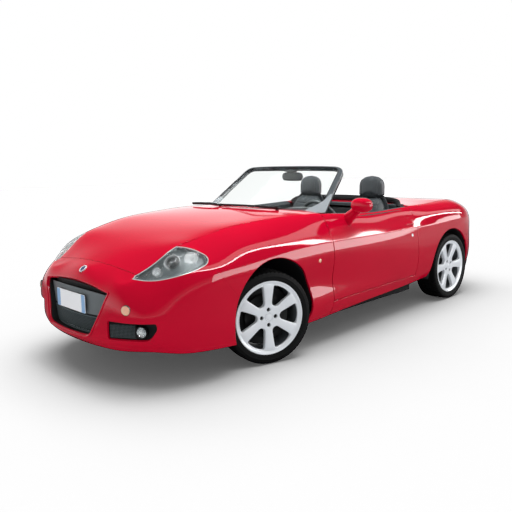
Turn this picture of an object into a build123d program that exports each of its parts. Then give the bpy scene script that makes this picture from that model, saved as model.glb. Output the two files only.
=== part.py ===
from build123d import *
import os
from math import cos, hypot, radians, sin

# Two-seat roadster with its roof stowed. Millimetres, +X forward, +Y the car's left, +Z up.
# Everything is drawn about the car's centre plane. The export moves it so that the origin lies on
# the ground under the middle of the overall box, which the single door mirror widens to the left.

# Overall sizes
noseX = 1958.0
tailX = -1958.0
boxMidY = 56.0
shutGap = 5.0
seamGap = 0.3
skin = 30.0
shellThick = 45.0
doorInner = 145.0
doorTopWide = 48.0

# Wheels and axles
frontAxleX = 958.0
rearAxleX = -1317.0
trackHalf = 702.0
tyreRadius = 297.0
tyreWidth = 200.0
rimRadius = 236.0
rimBarrel = 12.0
hubRadius = 62.0
spokeCount = 6
spokeWidth = 62.0
spokeDepth = 26.0
boltCircle = 98.0
boltHole = 14.0
boltCount = 4
kingpinInset = 62.0
kingpinY = trackHalf - kingpinInset
restSteer = -17.0
rearTurn = 30.0
discRadius = 140.0
discThick = 22.0
archRadius = 342.0
frontArchZ = 330.0
rearArchZ = 303.0

# Shut lines
doorFrontX = 386.0
doorRearX = -732.0
doorBottomZ = 300.0
doorRearSlant = 18.0
doorHingeSetback = 62.0
doorHingeY = 802.0
doorSwingRadius = 150.0
bumperSeam = ((1440.0, 690.0), (1270.0, 480.0))
rearSeamZ = 560.0

# Bonnet, deck and screen
bonnetSide = 2.5
bonnetRearMid = 690.0
bonnetRearSide = 520.0
bonnetHinge = (460.0, 900.0)
screenBaseZ = 918.0
screenBaseMidX = 560.0
screenBaseSide = (275.0, 655.0)
screenTopZ = 1240.0
screenTopMidX = -22.0
screenTopSide = (-50.0, 528.0)
pillarWide = 56.0
headerDeep = 30.0
glassThick = 6.0

# Floor and cabin
towRadius = 8.0
towY = 230.0
towZ = 345.0
towDeep = 90.0
jackPadX = (250.0, -600.0)
jackPadY = 660.0
jackPadHalf = 30.0
jackPadDrop = 7.0
floorZ = 165.0
floorThick = 25.0
sillFace = 585.0
sillReach = 700.0
postFoot = 235.0
postReach = 775.0
frameDeep = 46.0
panelThick = 20.0
trayFrontX = 1500.0
railFrontX = 1700.0
railOuter = 420.0
strikerY = 654.7
bootFloorZ = 345.0
bulkheadX = 560.0
cabinRearX = -760.0
tunnelHalf = 110.0
tunnelZ = 360.0
seatGapIn = 25.0
seatGapOut = 6.0

# One row per section of the body's flank, going round from the nose to the tail:
# base x, base y, plan angle, then (outward, height) of
# bottom, lip, waist, flank, crease, shoulder and crest
stations = [
    (noseX - 8, 0, 0, (-45, 222), (8, 285), (-4, 370), (-30, 470), (-68, 575), (-122, 642), (-198, 679)),
    (1930, 300, 8, (-50, 220), (0, 285), (-2, 370), (-20, 465), (-52, 562), (-105, 619), (-170, 662)),
    (1893, 475, 22, (-70, 216), (-20, 288), (-3, 370), (-4, 460), (-26, 545), (-62, 600), (-108, 628)),
    (1800, 650, 42, (-95, 215), (-38, 290), (-6, 370), (-3, 465), (-42, 560), (-105, 645), (-191, 706)),
    (1640, 745, 66, (-65, 217), (-25, 290), (-4, 370), (0, 480), (-12, 600), (-75, 705), (-215, 778)),
    (1420, 790, 84, (-40, 220), (-12, 290), (2, 380), (4, 500), (0, 646), (-68, 735), (-213, 826)),
    (1200, 802, 90, (-25, 228), (-4, 300), (4, 400), (6, 530), (0, 662), (-62, 775), (-207, 869)),
    (900, 803, 90, (-30, 238), (-2, 300), (2, 420), (8, 560), (0, 694), (-58, 800), (-183, 897)),
    (600, 803, 90, (-40, 245), (-6, 302), (-8, 430), (8, 580), (0, 712), (-52, 810), (-146, 910)),
    (386, 802, 90, (-50, 248), (-10, 302), (-8, 410), (9, 580), (0, 713), (-48, 808), (-122, 905)),
    (-170, 800, 90, (-58, 250), (-20, 302), (4, 400), (12, 570), (0, 708), (-38, 790), (-98, 868)),
    (-732, 800, 90, (-60, 252), (-22, 302), (6, 400), (12, 570), (0, 710), (-40, 800), (-102, 884)),
    (-1107, 804, 90, (-50, 250), (-16, 302), (4, 400), (8, 570), (0, 717), (-36, 818), (-132, 882)),
    (-1450, 806, 90, (-30, 240), (-8, 300), (2, 400), (4, 570), (0, 727), (-40, 828), (-160, 892)),
    (-1690, 778, 112, (-50, 225), (-15, 300), (2, 400), (4, 560), (0, 722), (-40, 810), (-150, 872)),
    (-1862, 672, 140, (-70, 215), (-20, 300), (2, 400), (4, 560), (0, 705), (-38, 775), (-105, 815)),
    (-1940, 420, 165, (-70, 215), (-20, 300), (2, 400), (4, 560), (0, 700), (-30, 765), (-75, 805)),
    (-1958, 0, 180, (-65, 215), (-20, 300), (-4, 400), (-2, 560), (-2, 700), (-25, 765), (-60, 812)),
]
frontRows = stations[:10]
doorRows = stations[9:12]
rearRows = stations[11:]

# Bonnet sections: x, half width, edge height, middle height
bonnetRows = [
    (1800, 436, 623, 654), (1658, 522, 706, 727), (1552, 549, 778, 776), (1398, 578, 826, 829),
    (1200, 595, 869, 873), (900, 620, 897, 912), (600, 657, 910, 931), (386, 680, 905, 934),
]

# Rear deck sections: x, half width, edge height, middle height
deckRows = [
    (-740, 698, 884, 905), (-1107, 672, 882, 902), (-1450, 646, 892, 896), (-1634, 640, 872, 868),
    (-1781, 604, 815, 845), (-1868, 400, 805, 832), (-1900, 300, 808, 812),
]
deckSplitX = -1290.0
lidRearX = tailX + 90
bootRearX = lidRearX + 68


def railPlane(x, y, angle):
    """Vertical plane of a section: its X points outward and its Y up."""
    c, s = cos(radians(angle)), sin(radians(angle))
    return Plane(origin=(x, y, 0), x_dir=(c, s, 0), z_dir=(s, -c, 0))


def inward(rails, thick):
    """The rails moved inward by thick, square to the outline."""
    out = []
    for i, (o, z) in enumerate(rails):
        before, after = rails[max(i - 1, 0)], rails[min(i + 1, len(rails) - 1)]
        do, dz = after[0] - before[0], after[1] - before[1]
        length = hypot(do, dz)
        out.append((o - dz / length * thick, z + do / length * thick))
    return out


def band(rows, thick, flat=None):
    """Ruled band through the rows on the left side; flat gives it a plain inner wall."""
    wires = []
    for x, y, angle, *rails in rows:
        if flat is None:
            inner = inward(rails, thick)
        else:
            top, foot = rails[-1], rails[0]
            inner = [(foot[0] - thick, foot[1]), (-flat, foot[1] + 40), (-flat, top[1] - 80),
                     (top[0] - doorTopWide, top[1] - 3)]
        plane = railPlane(x, y, angle)
        points = [plane.from_local_coords(Vector(o, z, 0)) for o, z in [*rails, *inner[::-1]]]
        wires.append(Wire(Polyline(*points, close=True).edges()))
    return Solid.make_loft(wires, ruled=True)


def largest(shape):
    """The biggest solid of a shape, without the offcuts beside it."""
    return shape.solids().sort_by(SortBy.VOLUME)[-1]


def mirrored(shape):
    return mirror(shape, Plane.XZ)


def both(shape):
    """The shape and its mirror image across the car's middle."""
    return shape + mirrored(shape)


def block(x0, x1, y0, y1, z0, z1):
    return Pos((x0 + x1) / 2, (y0 + y1) / 2, (z0 + z1) / 2) * Box(x1 - x0, y1 - y0, z1 - z0)


def sideRod(x, z, radius, y0, y1):
    """Cylinder along Y."""
    return Pos(x, (y0 + y1) / 2, z) * Rot(90, 0, 0) * Cylinder(radius, y1 - y0)


def sidePrism(points, y0, y1):
    """Prism along Y over an outline of (x, z) points."""
    wire = Wire(Polyline(*[(x, y0, z) for x, z in points], close=True).edges())
    return Solid.extrude(Face(wire), Vector(0, y1 - y0, 0))


def frontPrism(points, x0, x1):
    """Prism along X over an outline of (y, z) points."""
    wire = Wire(Polyline(*[(x0, y, z) for y, z in points], close=True).edges())
    return Solid.extrude(Face(wire), Vector(x1 - x0, 0, 0))


def planPrism(points, z0, z1):
    """Prism along Z over an outline of (x, y) points."""
    wire = Wire(Polyline(*[(x, y, z0) for x, y in points], close=True).edges())
    return Solid.extrude(Face(wire), Vector(0, 0, z1 - z0))


def topSlab(rows, thick):
    """Slab under a crowned surface; each row is x, half width, edge height, middle height."""
    wires = []
    for x, y, edge, middle in rows:
        top = ThreePointArc((x, -y, edge), (x, 0, middle), (x, y, edge))
        low = ThreePointArc((x, y, edge - thick), (x, 0, middle - thick), (x, -y, edge - thick))
        sides = [Line((x, y, edge), (x, y, edge - thick)), Line((x, -y, edge - thick), (x, -y, edge))]
        wires.append(Wire([top.edge(), sides[0].edge(), low.edge(), sides[1].edge()]))
    return Solid.make_loft(wires, ruled=True)


def crest(rows, inset=0.0):
    """Plan outline of the crest rail, moved inward by inset."""
    out = []
    for x, y, angle, *rails in rows:
        c, s = cos(radians(angle)), sin(radians(angle))
        out.append((x + (rails[-1][0] - inset) * c, y + (rails[-1][0] - inset) * s))
    return out


# Wheel arches
frontArch = sideRod(frontAxleX, frontArchZ, archRadius, 400, 900)
rearArch = sideRod(rearAxleX, rearArchZ, archRadius, 450, 900)

# Headlamp outline in the plane of its cover
lampTip = Vector(1775, 480, 626)
lampTop = Vector(1526, 552, 790)
lampRear = Vector(1432, 724, 705)
lampLow = Vector(1650, 640, 612)
lampPlane = Plane(origin=(1600, 590, 690), x_dir=(0.828, -0.449, -0.337), z_dir=(0.561, 0.608, 0.562))


def lampPrism(grow):
    """Teardrop prism square to the lamp's cover, grown by a margin."""
    corners = []
    for p in (lampTip, lampTop, lampRear, lampLow):
        q = lampPlane.to_local_coords(p)
        d = hypot(q.X, q.Y)
        corners.append(((q.X) * (d + grow) / d, (q.Y) * (d + grow) / d))
    (tx, ty), (px, py), (rx, ry), (lx, ly) = corners
    upper = ThreePointArc((tx, ty), ((tx + px) / 2, (ty + py) / 2 - 30), (px, py))
    rear = ThreePointArc((px, py), (px * 0.5 + rx * 0.5 - 30, py * 0.5 + ry * 0.5 + 12), (rx, ry))
    under = ThreePointArc((rx, ry), (lx, ly), (tx, ty))
    face = Face(Wire([upper.edge(), rear.edge(), under.edge()]))
    return Solid.extrude(lampPlane * Pos(0, 0, -160) * face, lampPlane.z_dir * 320)


# Front band: bumper, wings and headlamps
frontBand = band(frontRows, shellThick)
frontThick = band(frontRows[2:7], 100)
(seamTopX, seamTopZ), (seamLowX, seamLowZ) = bumperSeam
seamSlope = (seamTopX - seamLowX) / (seamTopZ - seamLowZ)


def seamX(z):
    return seamLowX + (z - seamLowZ) * seamSlope


bumperZone = sidePrism([(seamX(0) + 0, 0), (2100, 0), (2100, 1000), (seamX(1000), 1000)], -1000, 1000)
wingZone = sidePrism([(seamX(0) - seamGap * 1.6, 0), (0, 0), (0, 1000), (seamX(1000) - seamGap * 1.6, 1000)], -1000, 1000)
lampHole = lampPrism(0.5)
mouth = [(-380, 551), (-200, 569), (0, 575), (200, 569), (380, 551), (352, 480), (308, 402), (251, 293),
         (0, 287), (-251, 293), (-308, 402), (-352, 480)]
mouthHole = frontPrism(mouth, 1700, 2050)
fogPlane = Plane(origin=(1835, 548, 346), x_dir=(-0.515, 0.857, 0), z_dir=(0.857, 0.515, 0))
fogSlot = fogPlane * Box(296, 84, 160)
indicatorPlane = Plane(origin=(1850, 532, 475), x_dir=(-0.45, 0.893, 0), z_dir=(0.893, 0.45, 0))
indicatorHole = indicatorPlane * Cylinder(23, 60)

bonnetOpening = planPrism([*crest(frontRows), *[(x, -y) for x, y in crest(frontRows)[:0:-1]]], 0, 1500)
halfFront = frontBand - frontArch - lampHole - bonnetOpening
halfBumper = largest(halfFront & bumperZone) - fogSlot - indicatorHole
parts = {}
parts["front_bumper"] = both(halfBumper) - mouthHole
sideFront = largest(halfFront & wingZone) - block(0, doorFrontX, 0, 1000, 0, 1000)
parts["front_wing_l"] = sideFront
parts["headlamp_l"] = (frontThick & lampPrism(0)) - bonnetOpening - parts["front_bumper"] - sideFront

# Grille, number plates and front lamps
grillePlan = [(1912 - y * y / 2500, y) for y in range(-420, 421, 105)]
grillePlan += [(x - 26, y) for x, y in grillePlan[::-1]]
grilleSheet = planPrism(grillePlan, 250, 600)
grilleMesh = grilleSheet & frontPrism([(y * 0.996, 431 + (z - 431) * 0.99) for y, z in mouth], 1700, 2050)
towHole = Pos(1900, towY, towZ) * Rot(0, 90, 0) * Cylinder(towRadius + 14, 200)
fogInsert = fogPlane * Pos(0, 0, -22) * Box(294, 82, 18)
fogBore = fogPlane * Pos(24, 0, 0) * Cylinder(37, 120)
parts["grille"] = (grilleMesh - towHole) + both(fogInsert - fogBore)
frontPlate = block(1912.3, 1920.3, -180, 180, 406, 516)
fogLamp = fogPlane * Pos(24, 0, -16) * Cylinder(36.5, 44)
indicator = indicatorPlane * Pos(0, 0, -6) * Cylinder(22.5, 30)
parts["front_lamps"] = both(fogLamp) + both(indicator)

# Bonnet and scuttle
bonnetSlab = topSlab(bonnetRows, skin)
bonnetRear = ThreePointArc((bonnetRearSide, -700), (bonnetRearMid, 0), (bonnetRearSide, 700))
bonnetFrontMidX = stations[0][0] + stations[0][-1][0]


def bonnetPlan(inset, rearShift):
    """Outline of the opening between the crests, closed at the rear by the scuttle's arc."""
    left = crest(frontRows, inset)[1:]
    nose = (bonnetFrontMidX - inset, 0)
    points = [nose, *left]
    right = [(x, -y) for x, y in left[::-1]]
    wire = Wire(Polyline(*[(x, y, 0) for x, y in [*right, *points]], close=True).edges())
    outline = Solid.extrude(Face(wire), Vector(0, 0, 1500))
    side, mid = bonnetRearSide + rearShift, bonnetRearMid + rearShift
    arc = ThreePointArc((side, -720), (mid, 0), (side, 720))
    front = Polyline((side, 720), (2100, 720), (2100, -720), (side, -720))
    ahead = Solid.extrude(Face(Wire([arc.edge(), *front.edges()])), Vector(0, 0, 1500))
    return outline, ahead


outline, ahead = bonnetPlan(bonnetSide + shutGap / 2, shutGap)
parts["bonnet"] = bonnetSlab & outline & ahead
scuttleOutline, scuttleAhead = bonnetPlan(0.3, 0)
screenFoot = ThreePointArc((screenBaseSide[0], -screenBaseSide[1]), (screenBaseMidX, 0), screenBaseSide)
footBack = Polyline(screenBaseSide, (100, screenBaseSide[1]), (100, -screenBaseSide[1]),
                    (screenBaseSide[0], -screenBaseSide[1]))
screenWell = Solid.extrude(Face(Wire([screenFoot.edge(), *footBack.edges()])), Vector(0, 0, 1500))
parts["scuttle"] = (bonnetSlab & scuttleOutline) - scuttleAhead - Pos(-pillarWide, 0, 0) * screenWell

# Windscreen: two arcs joined by a ruled sheet, framed by pillars and a header


def screenArc(z, mid, side, shift):
    (sx, sy) = side
    return ThreePointArc((sx + shift, -sy, z), (mid + shift, 0, z), (sx + shift, sy, z))


def screenSheet(shift, deep):
    """Curved sheet between the screen's foot and its header, deep along X."""
    wires = []
    for z, mid, side in ((screenBaseZ, screenBaseMidX, screenBaseSide), (screenTopZ, screenTopMidX, screenTopSide)):
        front, back = screenArc(z, mid, side, shift), screenArc(z, mid, side, shift - deep)
        ends = [Line(front @ 1, back @ 1), Line(back @ 0, front @ 0)]
        wires.append(Wire([front.edge(), ends[0].edge(), back.edge(), ends[1].edge()]))
    return Solid.make_loft(wires, ruled=True)


def pillarWindow(inset, drop, rise):
    """Outline looking along X that leaves the pillars and header round it."""
    (bx, by), (tx, ty) = screenBaseSide, screenTopSide
    run = (by - ty) / (screenTopZ - screenBaseZ)
    low, high = screenBaseZ + rise, screenTopZ - drop
    yLow, yHigh = by - (low - screenBaseZ) * run - inset, by - (high - screenBaseZ) * run - inset
    return frontPrism([(-yLow, low), (yLow, low), (yHigh, high), (-yHigh, high)], -300, 700)


thickSheet = screenSheet(10, frameDeep)
glassSheet = screenSheet(-12, glassThick * 2.2)
window = pillarWindow(pillarWide * 0.75, headerDeep, 24)
footDrop = 40.0
footSlope = (screenBaseSide[0] - screenTopSide[0]) / (screenTopZ - screenBaseZ)
footX = screenBaseSide[0] + 10
foot = sidePrism([(footX, screenBaseZ + 1), (footX + footDrop * footSlope, screenBaseZ - footDrop),
                  (footX + footDrop * footSlope - frameDeep, screenBaseZ - footDrop),
                  (footX - frameDeep, screenBaseZ + 1)],
                 screenBaseSide[1] - pillarWide, screenBaseSide[1])
parts["windscreen_frame"] = thickSheet - window + both(foot)
parts["windscreen_glass"] = glassSheet & window
parts["scuttle"] = parts["scuttle"] - parts["windscreen_frame"]
parts["front_wing_l"] = parts["front_wing_l"] - parts["windscreen_frame"]

# Doors
doorBand = band(doorRows, 0, doorInner)
doorZone = block(doorRearX + shutGap / 2, doorFrontX - shutGap - 2, 0, 1000, doorBottomZ + shutGap / 2, 1000)
slantX = doorRearX + shutGap / 2
rearWedge = planPrism([(slantX, 830), (slantX - 40, 830), (slantX - 40, 600),
                       (slantX + doorRearSlant * 230 / doorInner, 600)], 0, 1000)
hingeX = doorFrontX - shutGap - 2 - doorHingeSetback
swing = Pos(hingeX, doorHingeY, 500) * Cylinder(doorSwingRadius, 1200)
frontInner = block(hingeX, doorFrontX, 500, doorHingeY, 0, 1000) - swing
footRoom = block(190, 340, 500, screenBaseSide[1] + 7, screenBaseZ - footDrop - 8, 1000)
topSwing = Pos(hingeX, doorHingeY, 500) * Cylinder(doorSwingRadius - 12, 1200)
topInner = block(hingeX, doorFrontX, 500, doorHingeY, screenBaseZ - footDrop - 8, 1000) - topSwing
parts["door_l"] = (doorBand & doorZone) - rearWedge - frontInner - footRoom - topInner

# Mirror on the left door: a stalk and a rounded head
mirrorHeadAt = (185, 900, 958)
stalk = Solid.make_loft([
    Wire(Polyline((270, 725, 846), (270, 776, 800), (196, 776, 800), (196, 725, 846), close=True).edges()),
    Wire(Polyline((236, 862, 925), (236, 892, 912), (186, 892, 912), (186, 862, 925), close=True).edges()),
], ruled=True)
mirrorHead = Pos(*mirrorHeadAt) * Rot(0, 0, 8) * Box(92, 168, 106)
mirrorHead = fillet(mirrorHead.edges(), 30)
parts["mirror_l"] = (stalk + mirrorHead) - parts["door_l"]

# Rear quarters with the sills, tail panel and rear bumper
deckOpening = planPrism([*crest(rearRows), *[(x, -y) for x, y in crest(rearRows)[-2::-1]]], 0, 1500)
rearBand = band(rearRows, shellThick) - rearArch - deckOpening
sillBand = band([rearRows[0], rearRows[1]], shellThick) + band(doorRows, shellThick)
sillBand &= block(doorRearX - shutGap, doorFrontX, 0, 1000, 0, doorBottomZ - shutGap / 2)
tailSplitY = 560.0
behindDoor = block(-2100, doorRearX - shutGap / 2, 0, 1000, 0, 1000)
above = block(-2100, 0, 0, 1000, rearSeamZ, 1000)
middle = block(-2100, -1700, -tailSplitY, tailSplitY + seamGap, 0, 1000)
bumperSideX = -1600.0
rearTop = (rearBand & above) - middle
rearFlank = rearBand & block(bumperSideX + seamGap, doorRearX, 0, 1000, 0, rearSeamZ + 1)
parts["rear_wing_l"] = ((rearTop + rearFlank) & behindDoor) + sillBand
tailLampBox = Plane(origin=(-1885, 560, 660), x_dir=(0.47, 0.883, 0), z_dir=(-0.883, 0.47, 0))
tailShape = tailLampBox * Solid.extrude(SlotOverall(250, 96).face(), Vector(0, 0, 200))
tailShape = Pos(0.883 * 100, -0.47 * 100, 0) * tailShape
tailFit = tailLampBox * Solid.extrude(SlotOverall(249, 95).face(), Vector(0, 0, 200))
tailFit = Pos(0.883 * 100, -0.47 * 100, 0) * tailFit
parts["tail_panel"] = both((rearBand & above & block(-2100, -1700, -1, tailSplitY, 0, 1000)) - tailShape)
parts["rear_wing_l"] = parts["rear_wing_l"] - tailShape
parts["tail_lamps"] = both((band(rearRows[3:], 70) & tailFit) - deckOpening)
plateSeatX = tailX + 14
rearBumper = both(rearBand & block(-2100, bumperSideX, 0, 1000, 0, rearSeamZ - seamGap))
parts["rear_bumper"] = rearBumper - block(-2100, plateSeatX, -264, 264, 396, 514)
parts["plates"] = frontPlate + block(plateSeatX - seamGap - 8, plateSeatX - seamGap, -260, 260, 400, 510)

# Rear deck: a hard cover over the stowed roof, then the boot lid
deckSlab = topSlab(deckRows, skin)


def deckPlan(inset):
    left = [(x, y) for x, y in crest(rearRows, inset)]
    points = [*left, *[(x, -y) for x, y in left[::-1][1:]]]
    return planPrism(points, 0, 1500)


deckAll = deckSlab & deckPlan(bonnetSide + shutGap / 2)
parts["tonneau_cover"] = deckAll & block(deckSplitX + shutGap / 2, cabinRearX, -800, 800, 0, 1500)
parts["boot_lid"] = deckAll & block(lidRearX, deckSplitX - shutGap / 2, -800, 800, 0, 1500)

# Right-hand twins
for name in ("front_wing", "headlamp", "door", "rear_wing"):
    parts[name + "_r"] = mirrored(parts[name + "_l"])
parts["headlamps"] = parts.pop("headlamp_l") + parts.pop("headlamp_r")

# Floor pan with tunnel and sills
floorTop = floorZ + floorThick
sillTop = doorBottomZ - 12
underTray = block(cabinRearX, trayFrontX, -railOuter, railOuter, floorZ, floorTop)
cabinFloor = block(cabinRearX, bulkheadX, -sillFace - 15, sillFace + 15, floorZ, floorTop)
sillBox = block(cabinRearX, bulkheadX - 180, sillFace, sillReach, floorZ, sillTop)
tunnel = block(cabinRearX, bulkheadX - panelThick, -tunnelHalf, tunnelHalf, floorZ, tunnelZ)
tunnelHollow = block(cabinRearX - 30, bulkheadX + 1, -tunnelHalf + panelThick, tunnelHalf - panelThick, 0,
                     tunnelZ - panelThick)
floorPan = underTray + cabinFloor + both(sillBox) + tunnel - tunnelHollow
for x in jackPadX:
    floorPan += both(block(x - jackPadHalf, x + jackPadHalf, jackPadY - jackPadHalf, jackPadY + jackPadHalf,
                           floorZ - jackPadDrop, floorZ + 1))
firewall = block(bulkheadX - panelThick, bulkheadX, -620, 620, floorTop, 860)
aPost = both(block(bulkheadX - panelThick, bulkheadX, 600, postReach, postFoot, 700))


def restPost(slab, x, y, half, low):
    """Post whose top lies just under a slab's lower face."""
    foot = block(x - half, x + half, y - half, y + half, low, low + 500)
    return foot - Pos(0, 0, -seamGap) * slab - Pos(0, 0, -seamGap + skin * 0.9) * slab


def trimmedPost(slab, x, y, half, low):
    """The part of a rest post that stands below the slab."""
    return restPost(slab, x, y, half, low).solids().sort_by(Axis.Z)[0]


rail = block(bulkheadX, railFrontX, railOuter - 50, railOuter, 260, 420)
slamBar = block(railFrontX - 60, railFrontX - 20, -railOuter, railOuter, 395, 435)
bonnetPosts = both(trimmedPost(bonnetSlab, railFrontX - 40, 300, 15, 434))
towLug = block(railFrontX - towDeep - 20, railFrontX, towY - 25, towY + 25, towZ - 25, 436)
towBore = Pos(railFrontX - towDeep / 2 + 5, towY, towZ) * Rot(0, 90, 0) * Cylinder(towRadius, towDeep + 10)
frontFrame = firewall + aPost + both(rail) + slamBar + bonnetPosts + towLug - towBore
parts["front_frame"] = frontFrame - floorPan - parts["front_wing_l"] - parts["front_wing_r"]
parts["floor_pan"] = floorPan - parts["rear_wing_l"] - parts["rear_wing_r"]

# Back wall and boot
backWall = block(cabinRearX - panelThick, cabinRearX, -630, 630, floorZ, 842)
bootFloor = block(bootRearX, cabinRearX, -railOuter, railOuter, bootFloorZ, bootFloorZ + 25)
bootSide = block(bootRearX, cabinRearX, railOuter, railOuter + panelThick, bootFloorZ, 760)
bootWall = block(deckSplitX - 10, deckSplitX + 10, -railOuter, railOuter, bootFloorZ, 845)
bootBack = block(bootRearX, bootRearX + panelThick, -railOuter, railOuter, bootFloorZ, 700)
lidPost = trimmedPost(deckSlab, bootRearX + 12, 0, 12, 690)
coverPosts = both(trimmedPost(deckSlab, cabinRearX - 12, 500, 10, 830))
striker = both(block(cabinRearX - panelThick, cabinRearX + 60, 600, strikerY, 600, 640))
bootTub = backWall + bootFloor + both(bootSide) + bootWall + bootBack + lidPost + coverPosts + striker
parts["boot_tub"] = bootTub - parts["floor_pan"]

# Cabin: seats, dashboard, console, steering wheel, interior mirror
seatY = (tunnelHalf + seatGapIn + sillFace - seatGapOut) / 2
seatHalf = (sillFace - seatGapOut - tunnelHalf - seatGapIn) / 2


def seat(y):
    """Cushion, backrest and headrest of one seat, as one soft solid."""
    base = sidePrism([(-70, floorTop + 0.3), (-560, floorTop + 0.3), (-590, 380), (-560, 400), (-80, 440),
                      (-50, 380)], y - seatHalf, y + seatHalf)
    back = sidePrism([(-480, 402), (-590, 402), (-745, 960), (-735, 985), (-680, 985), (-640, 960)],
                     y - seatHalf + 4, y + seatHalf - 4)
    head = sidePrism([(-650, 980), (-745, 980), (-748, 1110), (-715, 1150), (-670, 1150), (-648, 1110)],
                     y - 95, y + 95)
    head = fillet(head.edges().group_by(Axis.Z)[-1], 12)
    return base + back + head


parts["seat_l"] = seat(seatY)
parts["seat_r"] = seat(-seatY)
dashOutline = [(538, 640), (538, 850), (440, 868), (250, 893), (165, 885), (140, 850), (150, 740), (230, 640)]
dash = sidePrism(dashOutline, -595, 595)
parts["dashboard"] = dash
parts["console"] = sidePrism([(225, tunnelZ + 0.3), (-600, tunnelZ + 0.3), (-600, 470), (-330, 480), (40, 470),
                              (222, 640), (229, 640)], -95, 95)
lever = Pos(60, 0, 540) * Rot(0, -12, 0) * Cylinder(9, 150)
knob = Pos(44, 0, 620) * Sphere(24)
parts["console"] = parts["console"] + lever + knob
wheelTilt = 24
wheelPlane = Plane(origin=(-10, seatY, 790), x_dir=(0, 1, 0), z_dir=(-cos(radians(wheelTilt)), 0, sin(radians(wheelTilt))))
wheelRing = Torus(182, 14)
wheelHub = Pos(0, 0, -10) * Cylinder(62, 40)
wheelBars = Box(340, 34, 14) + Pos(0, -80, 0) * Box(34, 170, 14)
column = Pos(0, 0, -110) * Cylinder(32, 200)
parts["steering_wheel"] = (wheelPlane * (wheelRing + wheelHub + wheelBars + column)) - dash
mirrorX = screenTopMidX - 53
mirrorTop = screenTopZ - 56
glassMirror = block(mirrorX, mirrorX + 25, -110, 110, mirrorTop - 66, mirrorTop)
mirrorStalk = block(mirrorX + 11, mirrorX + 35, -14, 14, mirrorTop - 34, screenTopZ)
parts["interior_mirror"] = glassMirror + mirrorStalk
parts["interior_mirror"] = parts["interior_mirror"] - parts["windscreen_frame"] - parts["windscreen_glass"]

# Underbody: engine, subframe with lower arms, rear axle, exhaust, tank
armZ = 186.0
armThick = 18.0
pinRadius = 10.0
fitGap = 0.05
wheelZ = tyreRadius
parts["engine"] = block(frontAxleX - 68, frontAxleX + 372, -330, 330, 255.3, 750)
subframe = block(frontAxleX - 78, frontAxleX + 82, -360, 360, floorTop + 0.3, 255)
arm = block(frontAxleX - 43, frontAxleX + 43, 355, kingpinY + 18, armZ + 10, armZ + 10 + armThick)
pinHole = Pos(frontAxleX, kingpinY, armZ) * Cylinder(pinRadius + fitGap, 120)
parts["front_subframe"] = subframe + both(arm - pinHole)
stubRadius = 25.0
discInset = 5.0
rearBeam = sideRod(rearAxleX, wheelZ, 32, -560, 560)
rearStub = sideRod(rearAxleX, wheelZ, stubRadius, 550, trackHalf + 48)
rearHub = sideRod(rearAxleX, wheelZ, 52, 556, trackHalf - 32)
trailing = block(rearAxleX, cabinRearX - 20.3, 470, 520, 270, 320)
rearCaliper = block(rearAxleX + 70, rearAxleX + 150, 630, trackHalf - 12, wheelZ - 50, wheelZ + 50)
rearCaliper += block(rearAxleX + 30, rearAxleX + 90, 630, 645, wheelZ - 40, wheelZ + 40)
rearCaliper += block(rearAxleX - 10, rearAxleX + 60, 630, 645, wheelZ - 20, wheelZ + 20)
parts["rear_axle"] = rearBeam + both(rearStub + rearHub + trailing + rearCaliper)
parts["fuel_tank"] = block(-1200, -800, -330, 330, 200, bootFloorZ - 0.3)
pipe = Pos(-460, 190, 138) * Rot(0, 90, 0) * Cylinder(26.5, 2480)
silencer = Pos(-1640, 190, 255) * Rot(90, 0, 0) * Cylinder(85, 420)
tailPipe = Pos(-1790, 330, 184) * Rot(0, 90, 0) * Cylinder(26, 300)
riser = Pos(-1680, 190, 190) * Cylinder(26, 110)
parts["exhaust"] = pipe + silencer + tailPipe + riser

# Wheels: axis along +Y with the outer face towards +Y
barrelOuter = rimRadius - 14
lipWide = 9.0
rimHalf = 92.0


def revolveY(points):
    """Solid of revolution about Y over (radius, y) points."""
    wire = Wire(Polyline(*[(r, y, 0) for r, y in points], close=True).edges())
    return revolve(Face(wire), Axis.Y)


def wheelRim():
    """Rim with spokes, hub, brake disc and bolt holes."""
    inner = barrelOuter - rimBarrel
    barrel = revolveY([(inner, -rimHalf), (rimRadius, -rimHalf), (rimRadius, -rimHalf + lipWide),
                       (barrelOuter, -rimHalf + lipWide), (barrelOuter, rimHalf - lipWide),
                       (rimRadius, rimHalf - lipWide), (rimRadius, rimHalf), (inner, rimHalf)])
    hub = revolveY([(0, -discInset), (stubRadius + 45, -discInset), (hubRadius, 78), (0, 78)])
    disc = revolveY([(60, -discInset), (discRadius, -discInset), (discRadius, discThick - discInset),
                     (60, discThick - discInset)])
    shape = barrel + hub + disc
    for k in range(spokeCount):
        spoke = Solid.make_loft([
            Wire(Polyline((48, 74 - spokeDepth, -spokeWidth / 2), (48, 74, -spokeWidth / 2),
                          (48, 74, spokeWidth / 2), (48, 74 - spokeDepth, spokeWidth / 2), close=True).edges()),
            Wire(Polyline((214, 84 - spokeDepth, -spokeWidth * 0.62), (214, 84, -spokeWidth * 0.62),
                          (214, 84, spokeWidth * 0.62), (214, 84 - spokeDepth, spokeWidth * 0.62),
                          close=True).edges()),
        ], ruled=True)
        shape += Rot(0, 360 / spokeCount * k, 0) * spoke
    for k in range(boltCount):
        a = radians(360 / boltCount * k)
        x, z = boltCircle / 2 * cos(a), boltCircle / 2 * sin(a)
        shape -= sideRod(x, z, boltHole / 2 + 3, 66, 90)
    bore = sideRod(0, 0, stubRadius + fitGap, -60, 50)
    return shape - bore


def wheelTyre():
    half = tyreWidth / 2
    bead = barrelOuter + 0.3
    beadY = rimHalf - lipWide - 0.5
    profile = [(bead, -beadY), (bead + 16, -beadY), (bead + 40, -half), (tyreRadius - 16, -half + 4),
               (tyreRadius, -half + 18)]
    return revolveY([*profile, *[(r, -y) for r, y in profile[::-1]]])


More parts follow.
